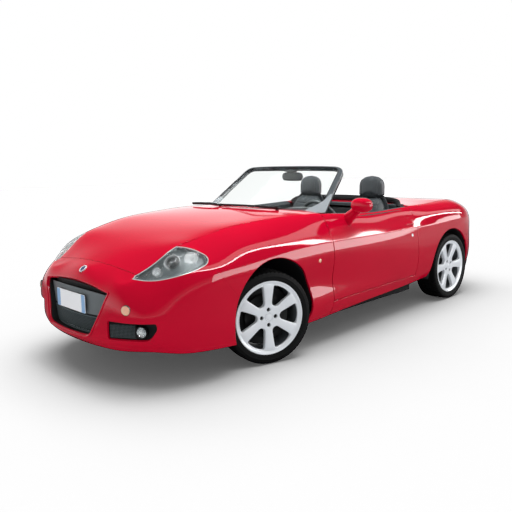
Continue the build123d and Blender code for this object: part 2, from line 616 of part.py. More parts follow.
rim, tyre = wheelRim(), wheelTyre()
pinY = kingpinY - trackHalf
knuckleHub = sideRod(0, 0, 46, pinY, -discInset - 8) + sideRod(0, 0, stubRadius, -40, 46)
upright = block(-34, 34, pinY - 22, pinY + 22, armZ + 34 - wheelZ, 40)
kingpin = Pos(0, pinY, armZ + 26 - wheelZ) * Cylinder(pinRadius, 60)
strutArm = block(-28, 28, pinY - 90, pinY - 20, 0, 34)
strut = Pos(0, pinY - 88, 160) * Cylinder(24, 330)
caliper = block(-150, -75, -42, -discInset - 7, -50, 50) + block(-150, -30, pinY, -30, -30, 30)
knuckle = knuckleHub + upright + kingpin + strutArm + strut + caliper


def steered(shape, side):
    """Place a wheel-frame shape at a front corner, turned with the steering about its kingpin."""
    placed = shape if side > 0 else mirrored(shape)
    offset = Pos(0, side * (trackHalf - kingpinY), 0) * placed
    return Pos(frontAxleX, side * kingpinY, wheelZ) * Rot(0, 0, restSteer) * offset


for name, shape in (("rim", rim), ("tyre", tyre)):
    parts[name + "_fl"] = steered(shape, 1)
    parts[name + "_fr"] = steered(shape, -1)
    turned = Rot(0, rearTurn, 0) * shape
    parts[name + "_rl"] = Pos(rearAxleX, trackHalf, wheelZ) * turned
    parts[name + "_rr"] = Pos(rearAxleX, -trackHalf, wheelZ) * mirrored(turned)
parts["knuckle_l"] = steered(knuckle, 1)
parts["knuckle_r"] = steered(knuckle, -1)

# Wipers on the scuttle: an arm from its pivot and a blade lying across the foot of the glass
def wiper(pivotY, tipY):
    """Arm and blade as one low bar from the pivot to the tip."""
    run = [(540, pivotY), (575, pivotY - 120), (596, (pivotY + tipY) / 2), (560, tipY)]
    back = [(x - 16, y) for x, y in run[::-1]]
    bar = planPrism([*run, *back], 934, 950)
    return bar + Pos(530, pivotY, 937) * Cylinder(14, 30)


parts["wipers"] = (wiper(330, -190) + wiper(-240, -560)) - parts["windscreen_frame"] - parts["windscreen_glass"]
parts["wipers"] = parts["wipers"] - parts["scuttle"]

os.makedirs("parts", exist_ok=True)
for name, shape in parts.items():
    moved = Pos(0, -boxMidY, 0) * Compound(children=list(shape.solids()))
    export_step(moved, f"parts/{name}.step")
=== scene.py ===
import bmesh
import bpy
import numpy as np
from mathutils import Matrix, Vector
from mathutils.geometry import delaunay_2d_cdt


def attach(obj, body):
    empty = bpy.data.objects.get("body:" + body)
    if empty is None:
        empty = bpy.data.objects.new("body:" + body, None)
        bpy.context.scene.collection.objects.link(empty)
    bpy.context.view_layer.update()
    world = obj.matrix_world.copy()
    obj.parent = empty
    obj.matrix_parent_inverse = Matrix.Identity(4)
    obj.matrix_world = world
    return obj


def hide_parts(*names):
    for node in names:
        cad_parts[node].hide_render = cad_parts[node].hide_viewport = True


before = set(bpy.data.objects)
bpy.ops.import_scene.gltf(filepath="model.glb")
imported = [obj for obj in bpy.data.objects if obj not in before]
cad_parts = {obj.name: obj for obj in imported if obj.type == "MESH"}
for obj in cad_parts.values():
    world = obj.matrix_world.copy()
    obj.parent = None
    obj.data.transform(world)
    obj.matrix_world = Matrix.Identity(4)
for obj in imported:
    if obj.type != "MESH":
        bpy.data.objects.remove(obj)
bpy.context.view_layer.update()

# Shapes are worked out in millimetres about the car's centre plane, +X forward, +Y left, +Z up.
centreY = -56.0  # where the centre plane lies in the frame
print("frame loaded")


# Small tools
def unit(a):
    # Each row divided by its length.
    return a / np.maximum(np.linalg.norm(a, axis=-1, keepdims=True), 1e-9)


def splineWeights(knots, t):
    # Weights that turn values at the knots into a natural cubic spline's values at t.
    knots = np.asarray(knots, float)
    t = np.asarray(t, float)
    count = len(knots)
    h = np.diff(knots)
    a = np.eye(count)
    d = np.zeros((count, count))
    i = np.arange(1, count - 1)
    a[i, i - 1], a[i, i], a[i, i + 1] = h[:-1] / 6, (h[:-1] + h[1:]) / 3, h[1:] / 6
    d[i, i - 1], d[i, i], d[i, i + 1] = 1 / h[:-1], -1 / h[:-1] - 1 / h[1:], 1 / h[1:]
    bend = np.linalg.solve(a, d)
    j = np.clip(np.searchsorted(knots, t, "right") - 1, 0, count - 2)
    q = (t - knots[j]) / h[j]
    p = 1 - q
    same = np.eye(count)
    square = h[j] ** 2 / 6
    return (p[:, None] * same[j] + q[:, None] * same[j + 1]
            + ((p ** 3 - p) * square)[:, None] * bend[j] + ((q ** 3 - q) * square)[:, None] * bend[j + 1])


def spline(knots, values, t):
    # Natural cubic spline through values at the knots, read at t.
    return splineWeights(knots, t) @ np.asarray(values, float)


def addMesh(name, verts, groups, materials, smooth=True):
    # Mesh from millimetre points and groups of (faces, corner normals or None, material number).
    place = np.array([0, centreY, 0])
    faces, normals, slots = [], [], []
    for f, n, m in groups:
        f = np.asarray(f)
        faces += f.tolist()
        slots += [m] * len(f)
        if n is not None:
            normals.append(np.asarray(n).reshape(-1, 3))
    mesh = bpy.data.meshes.new(name)
    mesh.from_pydata(((verts + place) / 1000).tolist(), [], faces)
    mesh.polygons.foreach_set("material_index", slots)
    mesh.polygons.foreach_set("use_smooth", [smooth] * len(faces))
    mesh.update()
    if normals and len(normals) == len(groups):
        mesh.normals_split_custom_set(np.concatenate(normals).tolist())
    obj = bpy.data.objects.new(name, mesh)
    bpy.context.scene.collection.objects.link(obj)
    for m in materials:
        mesh.materials.append(m)
    return obj


def finishPiece(obj, body, nodes=()):
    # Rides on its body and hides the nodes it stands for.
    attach(obj, body)
    if nodes:
        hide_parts(*nodes)
    return obj


def gridFaces(rows, cols, closeRows=False, closeCols=False):
    # Quads of a grid of rows by cols points, row after row.
    r = np.arange(rows if closeRows else rows - 1)
    c = np.arange(cols if closeCols else cols - 1)
    r, c = [a.ravel() for a in np.meshgrid(r, c, indexing="ij")]
    r2, c2 = (r + 1) % rows, (c + 1) % cols
    return np.stack([r * cols + c, r2 * cols + c, r2 * cols + c2, r * cols + c2], 1)


def derivatives(surface, uv, reach=1.5):
    # Point, both slopes and outward normal of a surface, slopes by central difference.
    du, dv = np.array([reach, 0]), np.array([0, reach])
    su = (surface(uv + du) - surface(uv - du)) / (2 * reach)
    sv = (surface(uv + dv) - surface(uv - dv)) / (2 * reach)
    return surface(uv), su, sv, unit(np.cross(su, sv))


def inSurface(su, sv, d):
    # Parameter step that moves a point by the vector d within the surface.
    a, b, c = (su * su).sum(1), (su * sv).sum(1), (sv * sv).sum(1)
    e, f = (su * d).sum(1), (sv * d).sum(1)
    det = a * c - b * b
    return np.stack([(c * e - b * f) / det, (a * f - b * e) / det], 1)


def locate(surface, axes, target, uRange, vRange):
    # Parameters where the surface meets the target, seen along the axes' common normal.
    u, v = np.meshgrid(np.arange(*uRange, 25.0), np.arange(*vRange, 25.0), indexing="ij")
    seeds = np.stack([u.ravel(), v.ravel()], 1)
    seen = surface(seeds) @ axes.T
    want = target @ axes.T
    uv = seeds[np.argmin(((want[:, None] - seen[None]) ** 2).sum(2), 1)]
    for _ in range(14):
        p, su, sv, n = derivatives(surface, uv, 0.5)
        miss = want - p @ axes.T
        ju, jv = su @ axes.T, sv @ axes.T
        det = ju[:, 0] * jv[:, 1] - ju[:, 1] * jv[:, 0]
        step = np.stack([(miss[:, 0] * jv[:, 1] - miss[:, 1] * jv[:, 0]) / det,
                         (ju[:, 0] * miss[:, 1] - ju[:, 1] * miss[:, 0]) / det], 1)
        uv = uv + np.clip(step, -40, 40)
    return uv


sideAxes = np.array([[1.0, 0, 0], [0, 0, 1]])
frontAxes = np.array([[0, 1.0, 0], [0, 0, 1]])


def densify(points, spacing=9.0):
    # Polyline resampled so that no run is longer than the spacing; keeps its corners.
    points = np.asarray(points, float)
    out = []
    for p, q in zip(points[:-1], points[1:]):
        count = max(int(np.ceil(np.hypot(*(q - p)[:2]) / spacing)), 1)
        out.append(p + (q - p) * (np.arange(count) / count)[:, None])
    return np.concatenate([*out, points[-1:]])


def edge(points, gap, radius):
    # Run of an outline: its points, how far the panel stays back from it and its edge radius.
    points = np.asarray(points, float)
    return np.column_stack([points[:, :2], np.full(len(points), gap), np.full(len(points), radius)])


def joinRuns(*runs):
    # Closed outline from runs that meet end to end.
    return np.concatenate([run[:-1] for run in runs])


def inside(points, loop):
    # Whether each point lies inside a closed polygon, by counting crossings.
    a, b = loop, np.roll(loop, -1, 0)
    x, y = points[:, 0, None], points[:, 1, None]
    spans = (a[None, :, 1] > y) != (b[None, :, 1] > y)
    rise = np.where(b[:, 1] == a[:, 1], 1e-9, b[:, 1] - a[:, 1])
    cross = a[:, 0] + (y - a[:, 1]) / rise * (b[:, 0] - a[:, 0])
    return ((spans & (x < cross)).sum(1) % 2) == 1


def signedArea(loop):
    # Twice the area inside an outline, positive where it runs anticlockwise.
    return (loop[:, 0] * np.roll(loop[:, 1], -1) - loop[:, 1] * np.roll(loop[:, 0], -1)).sum()


def trimmed(surface, loops, thick, step=15.0, roundSteps=3, extraRows=()):
    # Shell cut from a surface: triangles inside the outlines, a rounded edge, a flange and a back.
    # An edge point runs from the surface through a quarter circle of its own radius, out along the
    # panel and down against the normal, and on down to the shell's thickness.
    ready = []
    for number, loop in enumerate(loops):
        if (signedArea(loop) > 0) != (number == 0):
            loop = loop[::-1]
        uv = loop[:, :2]
        for final in (False, True):
            p, su, sv, n = derivatives(surface, uv)
            e2 = unit(np.roll(p, -1, 0) - p)
            e1 = np.roll(e2, 1, 0)
            m1, m2 = unit(np.cross(n, e1)), unit(np.cross(n, e2))
            dot = np.clip((m1 * m2).sum(1), -0.5, 1)
            if final:
                break
            d = (m1 + m2) / (1 + dot)[:, None] * (loop[:, 2] + loop[:, 3])[:, None]
            uv = uv + inSurface(su, sv, d)
        ready.append((uv, p, n, -unit(m1 + m2), loop[:, 3]))
    rim = np.concatenate([r[0] for r in ready])
    low, high = ready[0][0].min(0), ready[0][0].max(0)
    rowsV = np.arange(np.floor(low[1] / step) * step, high[1], step)
    for v in extraRows:
        rowsV = np.concatenate([rowsV[np.abs(rowsV - v) > step * 0.45], [v]])
    u, v = np.meshgrid(np.arange(np.floor(low[0] / step) * step, high[0], step), np.sort(rowsV), indexing="ij")
    grid = np.stack([u.ravel(), v.ravel()], 1)
    keep = inside(grid, ready[0][0])
    for r in ready[1:]:
        keep &= ~inside(grid, r[0])
    grid = grid[keep]
    near = np.full(len(grid), 1e9)
    for start in range(0, len(rim), 200):
        part = rim[start:start + 200]
        near = np.minimum(near, ((grid[:, None] - part[None]) ** 2).sum(2).min(1))
    grid = grid[near > (0.55 * step) ** 2]
    points = np.concatenate([rim, grid])
    starts = np.cumsum([0] + [len(r[0]) for r in ready])
    edges = [(int(s + i), int(s + (i + 1) % (t - s))) for s, t in zip(starts[:-1], starts[1:]) for i in range(t - s)]
    made = delaunay_2d_cdt([Vector(q) for q in points.tolist()], edges, [], 0, 1e-5, True)
    flat = np.array([tuple(q) for q in made[0]])
    source = np.array([ids[0] if ids else -1 for ids in made[3]])
    tri = np.array([f for f in made[2]])
    middle = flat[tri].mean(1)
    good = inside(middle, ready[0][0])
    for r in ready[1:]:
        good &= ~inside(middle, r[0])
    tri = tri[good]
    flat = np.where((source >= 0)[:, None], points[np.maximum(source, 0)], flat)
    place, su, sv, normal = derivatives(surface, flat)
    count = len(flat)
    index = np.full(len(points), -1)
    index[source[source >= 0]] = np.nonzero(source >= 0)[0]
    a, b, c = flat[tri[:, 0]], flat[tri[:, 1]], flat[tri[:, 2]]
    turn = (b - a)[:, 0] * (c - a)[:, 1] - (b - a)[:, 1] * (c - a)[:, 0]
    tri[turn < 0] = tri[turn < 0][:, ::-1]
    verts = [place]
    groups = [(tri, normal[tri], 0)]
    back = place - normal * thick
    backIndex = np.arange(count) + count
    verts.append(back)
    total = 2 * count
    for (uv, p, n, out, radius), s in zip(ready, starts[:-1]):
        size = len(uv)
        rowIndex = [index[s:s + size]]
        rowNormal = [n]
        for k in range(1, roundSteps + 1):
            angle = np.pi / 2 * k / roundSteps
            verts.append(p + out * (radius * np.sin(angle))[:, None] - n * (radius * (1 - np.cos(angle)))[:, None])
            rowIndex.append(np.arange(size) + total)
            rowNormal.append(unit(n * np.cos(angle) + out * np.sin(angle)))
            total += size
        bottom = index[s:s + size] + count
        back[index[s:s + size]] = p + out * radius[:, None] - n * thick
        rowIndex.append(bottom)
        rowNormal.append(out)
        nxt = np.roll(np.arange(size), -1)
        for k in range(roundSteps + 1):
            i0, i1, n0, n1 = rowIndex[k], rowIndex[k + 1], rowNormal[k], rowNormal[k + 1]
            faces = np.stack([i0, i1, i1[nxt], i0[nxt]], 1)
            groups.append((faces, np.stack([n0, n1, n1[nxt], n0[nxt]], 1), 0))
    groups.append((backIndex[tri][:, ::-1], -normal[tri][:, ::-1], 1))
    return np.concatenate(verts), groups


def mirroredShell(verts, groups):
    # The same shell on the other side of the car.
    flip = np.array([1, -1, 1])
    turned = [(np.asarray(f)[:, ::-1], None if n is None else (n * flip)[:, ::-1], m) for f, n, m in groups]
    return verts * flip, turned


# Body surface
# Sections round the car from nose to tail: base x, base y, plan angle, then (outward, height) of
# bottom, lip, waist, flank, crease, shoulder and crest
stations = [
    (1950, 0, 0, (-45, 222), (8, 285), (-4, 370), (-30, 470), (-68, 575), (-122, 642), (-198, 679)),
    (1930, 300, 8, (-50, 220), (0, 285), (-2, 370), (-20, 465), (-52, 562), (-105, 619), (-170, 662)),
    (1893, 475, 22, (-70, 216), (-20, 288), (-3, 370), (-4, 460), (-26, 545), (-62, 600), (-108, 628)),
    (1800, 650, 42, (-95, 215), (-38, 290), (-6, 370), (-3, 465), (-42, 560), (-105, 645), (-191, 706)),
    (1640, 745, 66, (-62, 200), (-25, 288), (-4, 370), (0, 480), (-12, 600), (-75, 705), (-215, 778)),
    (1420, 790, 84, (-40, 188), (-8, 290), (2, 380), (4, 500), (0, 646), (-68, 735), (-213, 826)),
    (1200, 802, 90, (-25, 182), (2, 300), (4, 400), (6, 530), (0, 662), (-62, 775), (-207, 869)),
    (900, 803, 90, (-30, 178), (6, 296), (-2, 420), (8, 560), (0, 694), (-58, 800), (-183, 897)),
    (600, 803, 90, (-34, 176), (10, 290), (-12, 430), (8, 580), (0, 712), (-52, 810), (-146, 910)),
    (386, 802, 90, (-42, 182), (4, 292), (-9, 410), (9, 580), (0, 713), (-48, 808), (-122, 905)),
    (-170, 800, 90, (-52, 204), (-10, 296), (0, 400), (12, 570), (0, 709), (-41, 796), (-100, 872)),
    (-732, 800, 90, (-58, 226), (-22, 300), (6, 400), (12, 570), (0, 711), (-40, 800), (-102, 882)),
    (-1107, 804, 90, (-50, 250), (-16, 302), (4, 400), (8, 570), (0, 717), (-36, 818), (-132, 882)),
    (-1450, 806, 90, (-30, 240), (-8, 300), (2, 400), (4, 570), (0, 727), (-40, 828), (-160, 892)),
    (-1690, 778, 112, (-50, 225), (-15, 300), (2, 400), (4, 560), (0, 722), (-40, 810), (-150, 872)),
    (-1862, 672, 140, (-70, 215), (-20, 300), (2, 400), (4, 560), (0, 705), (-38, 775), (-105, 815)),
    (-1940, 420, 165, (-70, 215), (-20, 300), (2, 400), (4, 560), (0, 700), (-30, 765), (-75, 805)),
    (-1958, 0, 180, (-65, 215), (-20, 300), (-4, 400), (-2, 560), (-2, 700), (-25, 765), (-60, 812)),
]
# Bonnet and rear deck sections: x, half width, edge height, middle height
bonnetRows = np.array([
    (1800, 436, 623, 654), (1658, 522, 706, 727), (1552, 549, 778, 776), (1398, 578, 826, 829),
    (1200, 595, 869, 873), (900, 620, 897, 912), (600, 657, 910, 931), (386, 680, 905, 934)], float)
deckRows = np.array([
    (-740, 698, 884, 905), (-1107, 672, 882, 902), (-1450, 646, 892, 896), (-1634, 640, 872, 868),
    (-1781, 604, 815, 845), (-1868, 400, 805, 832), (-1900, 300, 808, 812)], float)
edgeRoll = 6.0  # how far the lids' skins roll over before their edges


def lidSurface(rows):
    # Height over (x, y): middle height, falling with the square of the share of the half width to
    # the edge height, with a late roll-over on the tenth power.
    rows = rows[np.argsort(rows[:, 0])]

    def height(uv):
        # The lid's skin at each (x, y).
        half, low, high = splineFast(rows, np.asarray(uv)[:, 0]).T
        t = np.minimum(np.abs(uv[:, 1]) / half, 1.03)
        z = high + (low - high + edgeRoll) * t ** 2 - edgeRoll * t ** 10
        return np.column_stack([uv[:, 0], uv[:, 1], z])
    return height


def splineFast(rows, x):
    # Rows keyed by their first column, read at x.
    return splineWeights(rows[:, 0], x) @ rows[:, 1:]


bonnetSurface = lidSurface(bonnetRows)
deckSurface = lidSurface(deckRows)
railAt = np.array([0, 80, 170, 320, 455, 560, 680, 785.0])  # rail places across the flank, about mm
beyondCrest = 100.0


def stationRails():
    # Rail points of every section, with one more past the crest that leads onto the lids.
    out = []
    for x, y, angle, *rails in stations:
        c, s = np.cos(np.radians(angle)), np.sin(np.radians(angle))
        points = [(x + o * c, y + o * s, z) for o, z in rails]
        o, z = rails[-1]
        px, py = x + (o - beyondCrest) * c, y + (o - beyondCrest) * s
        if x > 300:
            z = bonnetSurface(np.array([[px, py]]))[0, 2]
        elif x < -740:
            z = deckSurface(np.array([[px, py]]))[0, 2]
        else:
            z = z + 24
        points.append((px, py, z))
        out.append(points)
    return np.array(out)


leftRails = stationRails()
waist = leftRails[:, 2]
stationU = np.concatenate([[0], np.cumsum(np.hypot(*np.diff(waist[:, :2], axis=0).T))])
halfGirth = stationU[-1]
flip = np.array([1, -1, 1])
girthKnots = np.concatenate([-stationU[:0:-1], stationU, 2 * halfGirth - stationU[-2::-1]])
girthRails = np.concatenate([leftRails[:0:-1] * flip, leftRails, leftRails[-2::-1] * flip])
creaseFade = (stationU[4], stationU[7], stationU[13], stationU[15])


def bodySurface(uv):
    # Point of the body's skin: u goes round the car from the nose over its left side, v climbs the
    # flank. Rails are cubic splines in u. Across them lies one cubic spline, and along the sides it
    # gives way to two that meet at the crease.
    u, v = uv[:, 0], uv[:, 1]
    rails = np.einsum("ns,src->nrc", splineWeights(girthKnots, u), girthRails)
    smooth = splineWeights(railAt, v)
    low, high = splineWeights(railAt[:5], np.minimum(v, railAt[4])), splineWeights(railAt[4:], np.maximum(v, railAt[4]))
    under = v < railAt[4]
    sharp = np.zeros_like(smooth)
    sharp[under, :5] = low[under]
    sharp[~under, 4:] = high[~under]
    fold = np.where(u > halfGirth, 2 * halfGirth - u, np.abs(u))
    a, b, c, d = creaseFade
    weight = np.clip((fold - a) / (b - a), 0, 1) * np.clip((d - fold) / (d - c), 0, 1)
    weights = smooth + (sharp - smooth) * weight[:, None]
    return np.einsum("nr,nrc->nc", weights, rails)


print("body surface ready, half girth", round(halfGirth))


# Materials
def linear(colour):
    # Linear colour from an sRGB hex value.
    c = np.array([int(colour[i:i + 2], 16) for i in (0, 2, 4)]) / 255
    return (*np.where(c > 0.04045, ((c + 0.055) / 1.055) ** 2.4, c / 12.92), 1.0)


def addNode(mat, kind, inputs=(), **settings):
    # Adds one node with its settings, and links or sets its inputs.
    node = mat.node_tree.nodes.new(kind)
    for key, value in settings.items():
        setattr(node, key, value)
    for key, value in dict(inputs).items():
        if isinstance(value, bpy.types.NodeSocket):
            mat.node_tree.links.new(value, node.inputs[key])
        else:
            node.inputs[key].default_value = value
    return node


def newMaterial(name, colour, roughness, metallic=0.0, grain=None, **more):
    # Material with a Principled shader and the grain's noise; more gives other sockets by their names.
    mat = bpy.data.materials.new(name)
    mat.use_nodes = True
    shader = mat.node_tree.nodes["Principled BSDF"]
    shader.inputs["Base Color"].default_value = linear(colour)
    shader.inputs["Roughness"].default_value = roughness
    shader.inputs["Metallic"].default_value = metallic
    for key, value in more.items():
        shader.inputs[key.replace("_", " ")].default_value = value
    if grain:
        grainy(mat, shader, *grain)
    return mat


def grainy(mat, shader, size, bump, colours=None, roughness=None, detail=4.0):
    # Noise of a size in millimetres that moves the surface, its colour and its roughness a little.
    place = addNode(mat, "ShaderNodeTexCoord")
    noise = addNode(mat, "ShaderNodeTexNoise", {"Vector": place.outputs["Object"], "Scale": 1000 / size,
                                                "Detail": detail})
    if bump:
        relief = addNode(mat, "ShaderNodeBump", {"Height": noise.outputs["Fac"], "Strength": 1.0,
                                                 "Distance": bump / 1000})
        mat.node_tree.links.new(relief.outputs["Normal"], shader.inputs["Normal"])
    if colours:
        ramp = addNode(mat, "ShaderNodeMix", {"Factor": noise.outputs["Fac"]}, data_type="RGBA")
        ramp.inputs[6].default_value, ramp.inputs[7].default_value = linear(colours[0]), linear(colours[1])
        mat.node_tree.links.new(ramp.outputs[2], shader.inputs["Base Color"])
    if roughness:
        span = addNode(mat, "ShaderNodeMapRange", {"Value": noise.outputs["Fac"], "To Min": roughness[0],
                                                   "To Max": roughness[1]})
        mat.node_tree.links.new(span.outputs["Result"], shader.inputs["Roughness"])


# Solid red car enamel under clear lacquer, sprayed and polished: deep colour below mirror highlights
paint = newMaterial("redLacqueredEnamel", "C0062A", 0.5, grain=(320, 0, ("BA0527", "C6072C")), Coat_Weight=1.0,
                    Coat_Roughness=0.05, Coat_IOR=1.45, Specular_IOR_Level=0.0)
# Primer and seam sealer on the back of the panels: flat and dull
primer = newMaterial("darkPrimer", "2A0D10", 0.85, grain=(9, 0.1, ("260B0E", "301013")))
# Grained polypropylene trim, moulded: dull black with a fine leathery grain
blackTrim = newMaterial("grainedPolypropylene", "17181A", 0.62, grain=(1.6, 0.12, ("131416", "1C1D1F"), (0.55, 0.72)))
# ABS with a satin spray finish: the smooth grey of the upper grille and the mirror bracket
satinGrey = newMaterial("satinGreyAbs", "6A7072", 0.42, grain=(40, 0.05, ("646A6C", "707678"), (0.38, 0.46)))
# Natural rubber with carbon black, vulcanised: near black with a soft sheen
rubber = newMaterial("tyreRubber", "0A0A0B", 0.7, grain=(2.5, 0.1, ("070708", "0E0E0F"), (0.5, 0.7)),
                     Specular_IOR_Level=0.12)
# Cast aluminium wheel with silver lacquer: bright, with softened reflections
silver = newMaterial("silverLacqueredAluminium", "D6DADE", 0.36, 0.1,
                     grain=(1.2, 0.01, ("DEE2E6", "EAEDF0"), (0.32, 0.4)), Coat_Weight=0.6, Coat_Roughness=0.08)
# Vacuum-metallised reflector: mirror bright
mirrorMetal = newMaterial("metallisedReflector", "DCE0E2", 0.12, 1.0, grain=(14, 0.25, None, (0.08, 0.18)))
# Cast iron brake disc, turned: fine rings, in a dark grey that is painted shade, far darker than bright turned iron
discPaintedShade = newMaterial("turnedCastIronPaintedShade", "18191A", 0.5, 0.4, grain=(3.0, 0.03, ("131415", "1E1F20")))
# Cathodic dip paint on pressed steel: satin black
steel = newMaterial("dipPaintedSteel", "17181A", 0.55, grain=(30, 0.2, ("131415", "1F2021"), (0.45, 0.62)))
# Aluminised exhaust steel, welded: dull warm grey
exhaustSteel = newMaterial("aluminisedSteel", "77736D", 0.4, 0.9, grain=(25, 0.1, ("6B665F", "85817A"), (0.32, 0.5)))
# Baked enamel on the pressed windscreen frame: dark grey satin
frameGrey = newMaterial("darkGreyEnamel", "3F4549", 0.34, grain=(60, 0, ("3A4044", "454B4F"), (0.3, 0.38)),
                        Coat_Weight=0.4, Coat_Roughness=0.1)
# Laminated screen glass: clear with the faintest green
glass = newMaterial("laminatedGlass", "FBFEFD", 0.0, IOR=1.05, Transmission_Weight=1.0)
# Polycarbonate lamp cover, hard-coated: clear
lampClear = newMaterial("clearPolycarbonate", "F6F8F8", 0.02, IOR=1.3, Transmission_Weight=1.0, Alpha=0.4)
print("materials ready")

# Body panels
u9, u11 = stationU[9], stationU[11]
crestV, lipV = railAt[6], railAt[1]
panelWall = 14.0
shut = {"gap": 2.5, "radius": 2.5, "lidGap": 4.6, "archRadius": 4.0, "lipRadius": 6.0, "seamRadius": 0.35,
        "topRadius": 7.0, "noseGap": 1.4, "noseRadius": 1.6, "mouthRadius": 9.0}


def arcPoints(a, b, c, count=24):
    # Points of the circle's arc from a through b to c, in a plane.
    (ax, ay), (bx, by), (cx, cy) = a, b, c
    d = 2 * (ax * (by - cy) + bx * (cy - ay) + cx * (ay - by))
    ux = ((ax * ax + ay * ay) * (by - cy) + (bx * bx + by * by) * (cy - ay) + (cx * cx + cy * cy) * (ay - by)) / d
    uy = ((ax * ax + ay * ay) * (cx - bx) + (bx * bx + by * by) * (ax - cx) + (cx * cx + cy * cy) * (bx - ax)) / d
    angles = np.unwrap([np.arctan2(y - uy, x - ux) for x, y in (a, b, c)])
    t = np.linspace(angles[0], angles[2], count)
    r = np.hypot(ax - ux, ay - uy)
    return np.column_stack([ux + r * np.cos(t), uy + r * np.sin(t)])


def rounded(corners, radii, steps=7):
    # Closed outline with each corner eased by a curve that starts its radius before the corner.
    p = np.asarray(corners, float)
    radii = np.broadcast_to(radii, len(p))
    out = []
    t = np.linspace(0, 1, steps)[:, None]
    for before, at, after, r in zip(np.roll(p, 1, 0), p, np.roll(p, -1, 0), radii):
        start = at + unit(before - at) * min(r, np.linalg.norm(before - at) / 2)
        end = at + unit(after - at) * min(r, np.linalg.norm(after - at) / 2)
        out.append((1 - t) ** 2 * start + 2 * t * (1 - t) * at + t ** 2 * end)
    return np.concatenate(out)


def closeLoop(points):
    # Outline with its first point again at its end.
    return np.concatenate([points, points[:1]])


def softLoop(corners, radii, spacing=9.0, steps=7):
    # Closed outline with eased corners, its points no farther apart than the spacing.
    return densify(closeLoop(rounded(corners, radii, steps)), spacing)[:-1]


def sideGuess(x, z):
    # Places on the left flank seen from the side at x and z.
    return locate(bodySurface, sideAxes, np.column_stack([x, np.zeros(len(x)), z]), (60, halfGirth - 60), (0, 700))


def archRun(cx, cz, radius):
    # Wheel arch on the left flank, from its front foot over the top to its rear foot.
    t = np.radians(np.linspace(-30, 210, 130))
    uv = sideGuess(cx + radius * np.cos(t), cz + radius * np.sin(t))
    good = np.nonzero(uv[:, 1] > 0)[0]
    first, last = good[0], good[-1]
    feet = []
    for a, b in ((first - 1, first), (last, last + 1)):
        share = uv[a, 1] / (uv[a, 1] - uv[b, 1])
        feet.append(uv[a] + (uv[b] - uv[a]) * share)
    return np.concatenate([feet[:1], uv[first:last + 1], feet[1:]])


frontArch = archRun(958, 330, 342)
rearArch = archRun(-1317, 303, 342)

# Headlamp outline in the plane of its cover: pointed at the front, round at the rear
lampOrigin = np.array([1600.0, 590, 690])
lampX, lampZ = unit(np.array([0.828, -0.449, -0.337])), unit(np.array([0.561, 0.608, 0.562]))
lampY = np.cross(lampZ, lampX)
lampAxes = np.array([lampX, lampY])
tip, top, rear, low = [lampAxes @ (np.array(p) - lampOrigin)
                       for p in ((1775, 480, 626), (1526, 552, 790), (1404, 740, 709), (1650, 640, 612))]
lampFlat = np.concatenate([
    arcPoints(tip, (tip + top) / 2 + (0, -30), top, 30)[:-1],
    arcPoints(top, (top + rear) / 2 + (-30, 12), rear, 22)[:-1],
    arcPoints(rear, low, tip, 40)[:-1]])
# Rear corner eased by a running mean whose weight falls off with distance from the corner
mean = sum(np.roll(lampFlat, k, 0) for k in range(-6, 7)) / 13
lampFlat = lampFlat + (mean - lampFlat) * np.exp(-(np.linalg.norm(lampFlat - rear, axis=1, keepdims=True) / 75) ** 2)
lampUV = locate(bodySurface, lampAxes, lampOrigin + lampFlat @ lampAxes, (100, 1200), (300, 760))
lowerEdge = lampUV[lampUV[:, 1] < crestV - 6]
lowerEdge = np.roll(lowerEdge, -1 - int(np.argmax(np.hypot(*(np.roll(lowerEdge, -1, 0) - lowerEdge).T))), 0)
lampEdge = lowerEdge if lowerEdge[0, 0] < lowerEdge[-1, 0] else lowerEdge[::-1]
lampEdge = np.concatenate([[[lampEdge[0, 0] - 6, crestV]], lampEdge, [[lampEdge[-1, 0] - 6, crestV]]])

# Seam between bumper and wing, from the arch up to the lamp
seamZ = np.linspace(430, 730, 40)
seamLine = sideGuess(1270 + (seamZ - 480) * 170 / 210, seamZ)


def meeting(run, line):
    # Places in two polylines where they come nearest.
    gaps = ((run[:, None] - line[None]) ** 2).sum(2)
    return np.unravel_index(np.argmin(gaps), gaps.shape)


archAt, seamLow = meeting(frontArch, seamLine)
lampAt, seamHigh = meeting(lampEdge, seamLine)
seam = np.concatenate([frontArch[archAt:archAt + 1], seamLine[seamLow + 1:seamHigh], lampEdge[lampAt:lampAt + 1]])
crestRun = lambda a, b: densify([(a, crestV), (b, crestV)])
baseRun = lambda a, b: densify([(a, 0), (b, 0)])
s = shut
planAxes = np.array([[1.0, 0, 0], [0, 1, 0]])
noseEndU = 560.0
noseMiddle, noseEnd = bodySurface(np.array([[0, crestV], [noseEndU, crestV]]))
noseY = np.linspace(0, noseEnd[1], 60)
noseLine = np.column_stack([noseMiddle[0] + (noseEnd[0] - noseMiddle[0]) * (noseY / noseEnd[1]) ** 2, noseY])
noseUV = locate(bodySurface, planAxes, np.column_stack([noseLine, noseY * 0]), (0, 700), (640, 790))
noseUV[0], noseUV[-1] = (0, crestV), (noseEndU, crestV)
noseLift = bodySurface(noseUV)[:, 2] - bonnetSurface(noseLine)[:, 2]
frontWingLoop = joinRuns(
    edge(frontArch[archAt:], 0, s["archRadius"]),
    edge(baseRun(frontArch[-1, 0], u9), 0, s["lipRadius"]),
    edge(densify([(u9, 0), (u9, crestV)]), s["gap"], s["radius"]),
    edge(crestRun(u9, lampEdge[-1, 0]), 0, s["radius"]),
    edge(lampEdge[lampAt:][::-1], 1.2, s["radius"]),
    edge(seam[::-1], 0.12, s["seamRadius"]))
